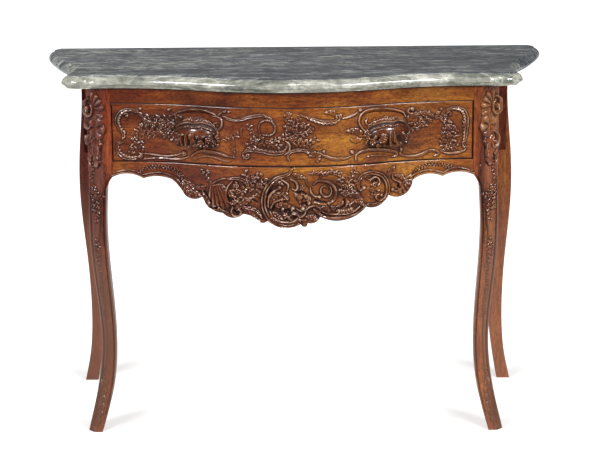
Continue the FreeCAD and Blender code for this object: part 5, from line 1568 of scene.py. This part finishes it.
def pull_piece(name, left, stands_for):
    """A hooded pull: the outside of half an egg shape with its carving, a lip, and the hollow
    inside. An angle runs round the hood from board to board, another from its top to its lip."""
    columns = HOOD_COLUMNS
    round_angle = np.radians(np.linspace(-95, 95, columns))
    rise = np.concatenate([np.linspace(90, 0, HOOD_ROWS), np.linspace(-0.8, -22, HEM_ROWS)])
    rise_angle = np.radians(rise)[:, None]
    across = PULL_SIZE[0] * np.sin(round_angle) * np.cos(rise_angle)
    out = PULL_SIZE[1] * np.cos(round_angle) * np.cos(rise_angle)
    up_z = PULL_SIZE[2] * np.sin(rise_angle) * np.ones(columns)
    round_run = UNROLLED_ROUND * round_angle * np.cos(np.maximum(rise_angle, 0)) ** 0.5
    across_sign = -1 if left else 1
    board = Carving(across_sign * round_run, UNROLLED_UP * rise_angle + 0 * round_angle)
    carve_pull(board, LEFT_PULL if left else RIGHT_PULL)
    relief = board.relief(6.0)
    relief[:, [0, -1]] = 0
    relief[0] = 0
    # the carving fades out at the top, and the hem hangs in small waves
    relief *= np.clip((90 - rise[:, None]) / 15, 0, 1)
    hem = 1.6 * np.abs(np.sin(round_angle * 11)) - 0.8
    normal = np.stack([across, out, up_z], axis=2) / np.square(PULL_SIZE)
    normal /= np.linalg.norm(normal, axis=2)[:, :, None]
    hood = np.stack([across, out, up_z], axis=2) + normal * relief[:, :, None]
    hood[-HEM_WAVED:, :, 2] -= hem * np.linspace(0, 1, HEM_WAVED)[:, None]
    # the hollow: a straight wall up from the lip, then a quarter of an egg shape to its top
    lip_z = hood[-1, :, 2]
    wall_x, wall_y = HOLLOW_SIZE[0] * np.sin(round_angle), HOLLOW_SIZE[1] * np.cos(round_angle)
    inner = [np.stack([wall_x, wall_y, lip_z * share], axis=1) for share in (1.0, 0.5, 0.0)]
    for angle in np.radians((15, 30, 45, 60, 75, 90)):
        level = np.full(columns, HOLLOW_SIZE[2] * math.sin(angle))
        inner.append(np.stack([wall_x * math.cos(angle), wall_y * math.cos(angle), level], axis=1))
    shape = np.concatenate([hood, np.stack(inner)])
    # painted shade fills the hollow inside and darkens the hood from 18 degrees up down to its hem, and a
    # painted highlight lies on the crest at 50
    marks, carved = np.full(shape.shape[:2], -0.8), np.ones(shape.shape[:2])
    hood_marks = board.painted_light_and_wax_marks(relief, PULL_ROW_STEP, -1)
    hood_marks -= 0.7 * np.clip((18 - rise[:, None]) / 20, 0, 1)
    marks[:len(hood)] = hood_marks + 0.7 * bell(rise[:, None] - 50, 9) * (relief > 2)
    y, nx, ny = serpentine(np.array([PULL_X]), OVERHANG)
    u, n = np.array((-ny[0], nx[0])), np.array((nx[0], ny[0]))
    flat = shape[:, :, :1] * u + shape[:, :, 1:2] * n + (PULL_X, y[0] + 2.0)
    points = np.concatenate([flat, shape[:, :, 2:] + DRAWER_LOW + PULL_RISE], axis=2)
    if left:
        points = points[:, ::-1] * (-1, 1, 1)
        marks, carved = marks[:, ::-1], carved[:, ::-1]
    rows = points.shape[0]
    sides = grid_faces(rows, columns)[:, ::-1]
    row_starts = np.arange(rows) * columns
    back = np.concatenate([row_starts + columns - 1, row_starts[::-1]])[None, :]
    faces, points = [sides, back], points.reshape(-1, 3)
    make_piece(name, points, faces, walnut_along, "drawer", stands_for, (marks, carved), 60.0)


marble_slab()
front_leg_piece("carved_front_left_leg", True, ("front_left_leg",))
front_leg_piece("carved_front_right_leg", False, ("front_right_leg",))
back_leg_piece("sawn_back_left_leg", True, ("back_left_leg",))
back_leg_piece("sawn_back_right_leg", False, ("back_right_leg",))
pull_piece("carved_left_pull", True, ("left_pull",))
pull_piece("carved_right_pull", False, ("right_pull",))
carved_drawer_front()
carved_apron()

# ---------------------------------------------------------------- floor, light and camera
scene = bpy.context.scene
scene.view_settings.view_transform = "Standard"
FLOOR_HALF = 30                        # metres
FEET = ((0.42, -0.15, 0.0), (0.48, 0.24, 0.0))     # under the right legs, in metres

floor_mesh = bpy.data.meshes.new("floor")
floor_corners = [(x * FLOOR_HALF, y * FLOOR_HALF, 0) for x, y in ((-1, -1), (1, -1), (1, 1), (-1, 1))]
floor_mesh.from_pydata(floor_corners, [], [(0, 1, 2, 3)])
floor = bpy.data.objects.new("floor", floor_mesh)
scene.collection.objects.link(floor)
floor_finish, floor_tree = new_finish("white_paper")
# White paper without gloss. It glows round the table and behind it, less in front, and half as
# much in what mirrors it. Looked at directly it is bright all round, and just dim enough at the
# feet for their faint shadows.
floor_place = add(floor_tree, "ShaderNodeTexCoord").outputs["Object"]
floor_y = add(floor_tree, "ShaderNodeSeparateXYZ", {"Vector": floor_place}).outputs["Y"]
glow = add(
    floor_tree, "ShaderNodeMapRange",
    {"Value": floor_y, "From Min": -1.5, "From Max": -0.5, "To Min": 0.05, "To Max": 0.9},
    interpolation_type="SMOOTHSTEP",
).outputs[0]
floor_path = add(floor_tree, "ShaderNodeLightPath")
direct = floor_path.outputs["Is Camera Ray"]
less_in_gloss = add(
    floor_tree, "ShaderNodeMapRange",
    {"Value": floor_path.outputs["Is Glossy Ray"], "To Min": 1.0, "To Max": 0.5},
).outputs[0]
glow = add(floor_tree, "ShaderNodeMath", {0: glow, 1: less_in_gloss}, operation="MULTIPLY").outputs[0]
# the left half of the floor is folded over on the right one
either_side = add(floor_tree, "ShaderNodeVectorMath", {0: floor_place}, operation="ABSOLUTE").outputs[0]
from_middle = add(floor_tree, "ShaderNodeSeparateXYZ", {"Vector": either_side}).outputs["X"]
folded = add(floor_tree, "ShaderNodeCombineXYZ", {"X": from_middle, "Y": floor_y}).outputs[0]
from_feet = [
    add(floor_tree, "ShaderNodeVectorMath", {0: folded, 1: foot}, operation="DISTANCE").outputs["Value"]
    for foot in FEET
]
from_foot = add(
    floor_tree, "ShaderNodeMath", {0: from_feet[0], 1: from_feet[1]}, operation="MINIMUM",
).outputs[0]
seen_glow = add(
    floor_tree, "ShaderNodeMapRange",
    {"Value": from_foot, "From Min": 0.07, "From Max": 0.3, "To Min": 0.45, "To Max": 0.97},
    interpolation_type="SMOOTHSTEP",
).outputs[0]
strength = add(floor_tree, "ShaderNodeMix", {0: direct, 2: glow, 3: seen_glow}).outputs[0]
paper = add(
    floor_tree, "ShaderNodeMix", {0: direct, 6: linear("#8c8c8c"), 7: linear("#f2f2f2")}, **COVER,
).outputs[2]
floor_shader = add(
    floor_tree, "ShaderNodeBsdfPrincipled",
    {"Base Color": paper, "Roughness": 0.9,
     "Emission Color": linear("#ffffff"), "Emission Strength": strength},
)
add(floor_tree, "ShaderNodeOutputMaterial", {"Surface": floor_shader.outputs[0]})
floor_mesh.materials.append(floor_finish)

# The walls of the studio: white where looked at, and dimmer as light and as mirrored light.
world = bpy.data.worlds.new("studio")
world.use_nodes = True
world.node_tree.nodes.clear()
sky_path = add(world.node_tree, "ShaderNodeLightPath")
sky_strength = add(
    world.node_tree, "ShaderNodeMapRange",
    {"Value": sky_path.outputs["Is Camera Ray"], "To Min": 0.3, "To Max": 1.0},
).outputs[0]
sky_strength = add(
    world.node_tree, "ShaderNodeMix", {0: sky_path.outputs["Is Glossy Ray"], 2: sky_strength, 3: 0.2},
).outputs[0]
sky = add(world.node_tree, "ShaderNodeBackground", {"Color": linear("#ffffff"), "Strength": sky_strength})
add(world.node_tree, "ShaderNodeOutputWorld", {"Surface": sky.outputs[0]})
scene.world = world

WINDOWS_FACE = (-0.2, 0.75)            # y and z of the place that the windows face, in metres

# Light given to this collection reaches all but the floor in it.
off_floor = bpy.data.collections.new("all_but_the_floor")
off_floor.objects.link(floor)
off_floor.collection_objects[0].light_linking.link_state = "EXCLUDE"


def window(name, over, towards, distance, width, height, light_there, mirrored=True, diffuse=True):
    """A lit rectangle that faces a place on the table's front: the place's x, the direction of the
    window from there, its distance and size in metres, how strongly it lights that place, and
    whether it is seen in mirrored and in diffuse light. Only those that aren't mirrored light the
    floor too. Its power is the light there times pi times the distance squared."""
    target = Vector((over, *WINDOWS_FACE))
    direction = Vector(towards).normalized()
    light = bpy.data.lights.new(name, "AREA")
    light.shape = "RECTANGLE"
    light.size, light.size_y = width, height
    light.energy = light_there * math.pi * distance ** 2
    lamp = bpy.data.objects.new(name, light)
    scene.collection.objects.link(lamp)
    lamp.visible_glossy, lamp.visible_diffuse = mirrored, diffuse
    if mirrored:
        lamp.light_linking.receiver_collection = off_floor
    lamp.location = target + direction * distance
    lamp.rotation_euler = direction.to_track_quat("Z", "Y").to_euler()


# Two low boxes light the front evenly and lay no haze on the polish, two windows give only the
# glints on the crests and along the marble's edge, and a small high one gives the shadows.
window("right_box", 0.1, (0.64, -0.73, 0.26), 4.2, 1.6, 0.6, 2.35, mirrored=False)
window("left_box", -0.1, (-0.64, -0.73, 0.26), 4.2, 1.6, 0.6, 2.35, mirrored=False)
window("right_window", 0.2, (0.46, -0.58, 0.6), 3.2, 1.0, 0.5, 3.2, diffuse=False)
window("left_window", -0.25, (-0.5, -0.55, 0.6), 3.2, 0.9, 0.5, 2.9, diffuse=False)
window("high_window", 0.0, (0.03, -0.42, 0.9), 3.2, 0.5, 0.3, 1.1)

view = bpy.data.cameras.new("studio_view")
view.lens = 110.68
view.sensor_width = 36.0
view.clip_end = 100.0
camera = bpy.data.objects.new("studio_view", view)
camera_place = (0.068, -4.3775, 1.559)
# down, to the left and clockwise, in degrees
pitch, pan, roll = math.radians(14.15), math.radians(0.71), math.radians(-0.56)
forward = np.array((-math.sin(pan) * math.cos(pitch), math.cos(pan) * math.cos(pitch), -math.sin(pitch)))
level = np.array((math.cos(pan), math.sin(pan), 0.0))
upward = np.cross(level, forward)
# the camera's own sides, rolled about the way it looks
right = level * math.cos(roll) + upward * math.sin(roll)
up = upward * math.cos(roll) - level * math.sin(roll)
turned = Matrix([(*row, 0.0) for row in np.stack([right, up, -forward], axis=1)] + [(0.0, 0.0, 0.0, 1.0)])
camera.matrix_world = Matrix.Translation(camera_place) @ turned
scene.collection.objects.link(camera)
scene.camera = camera
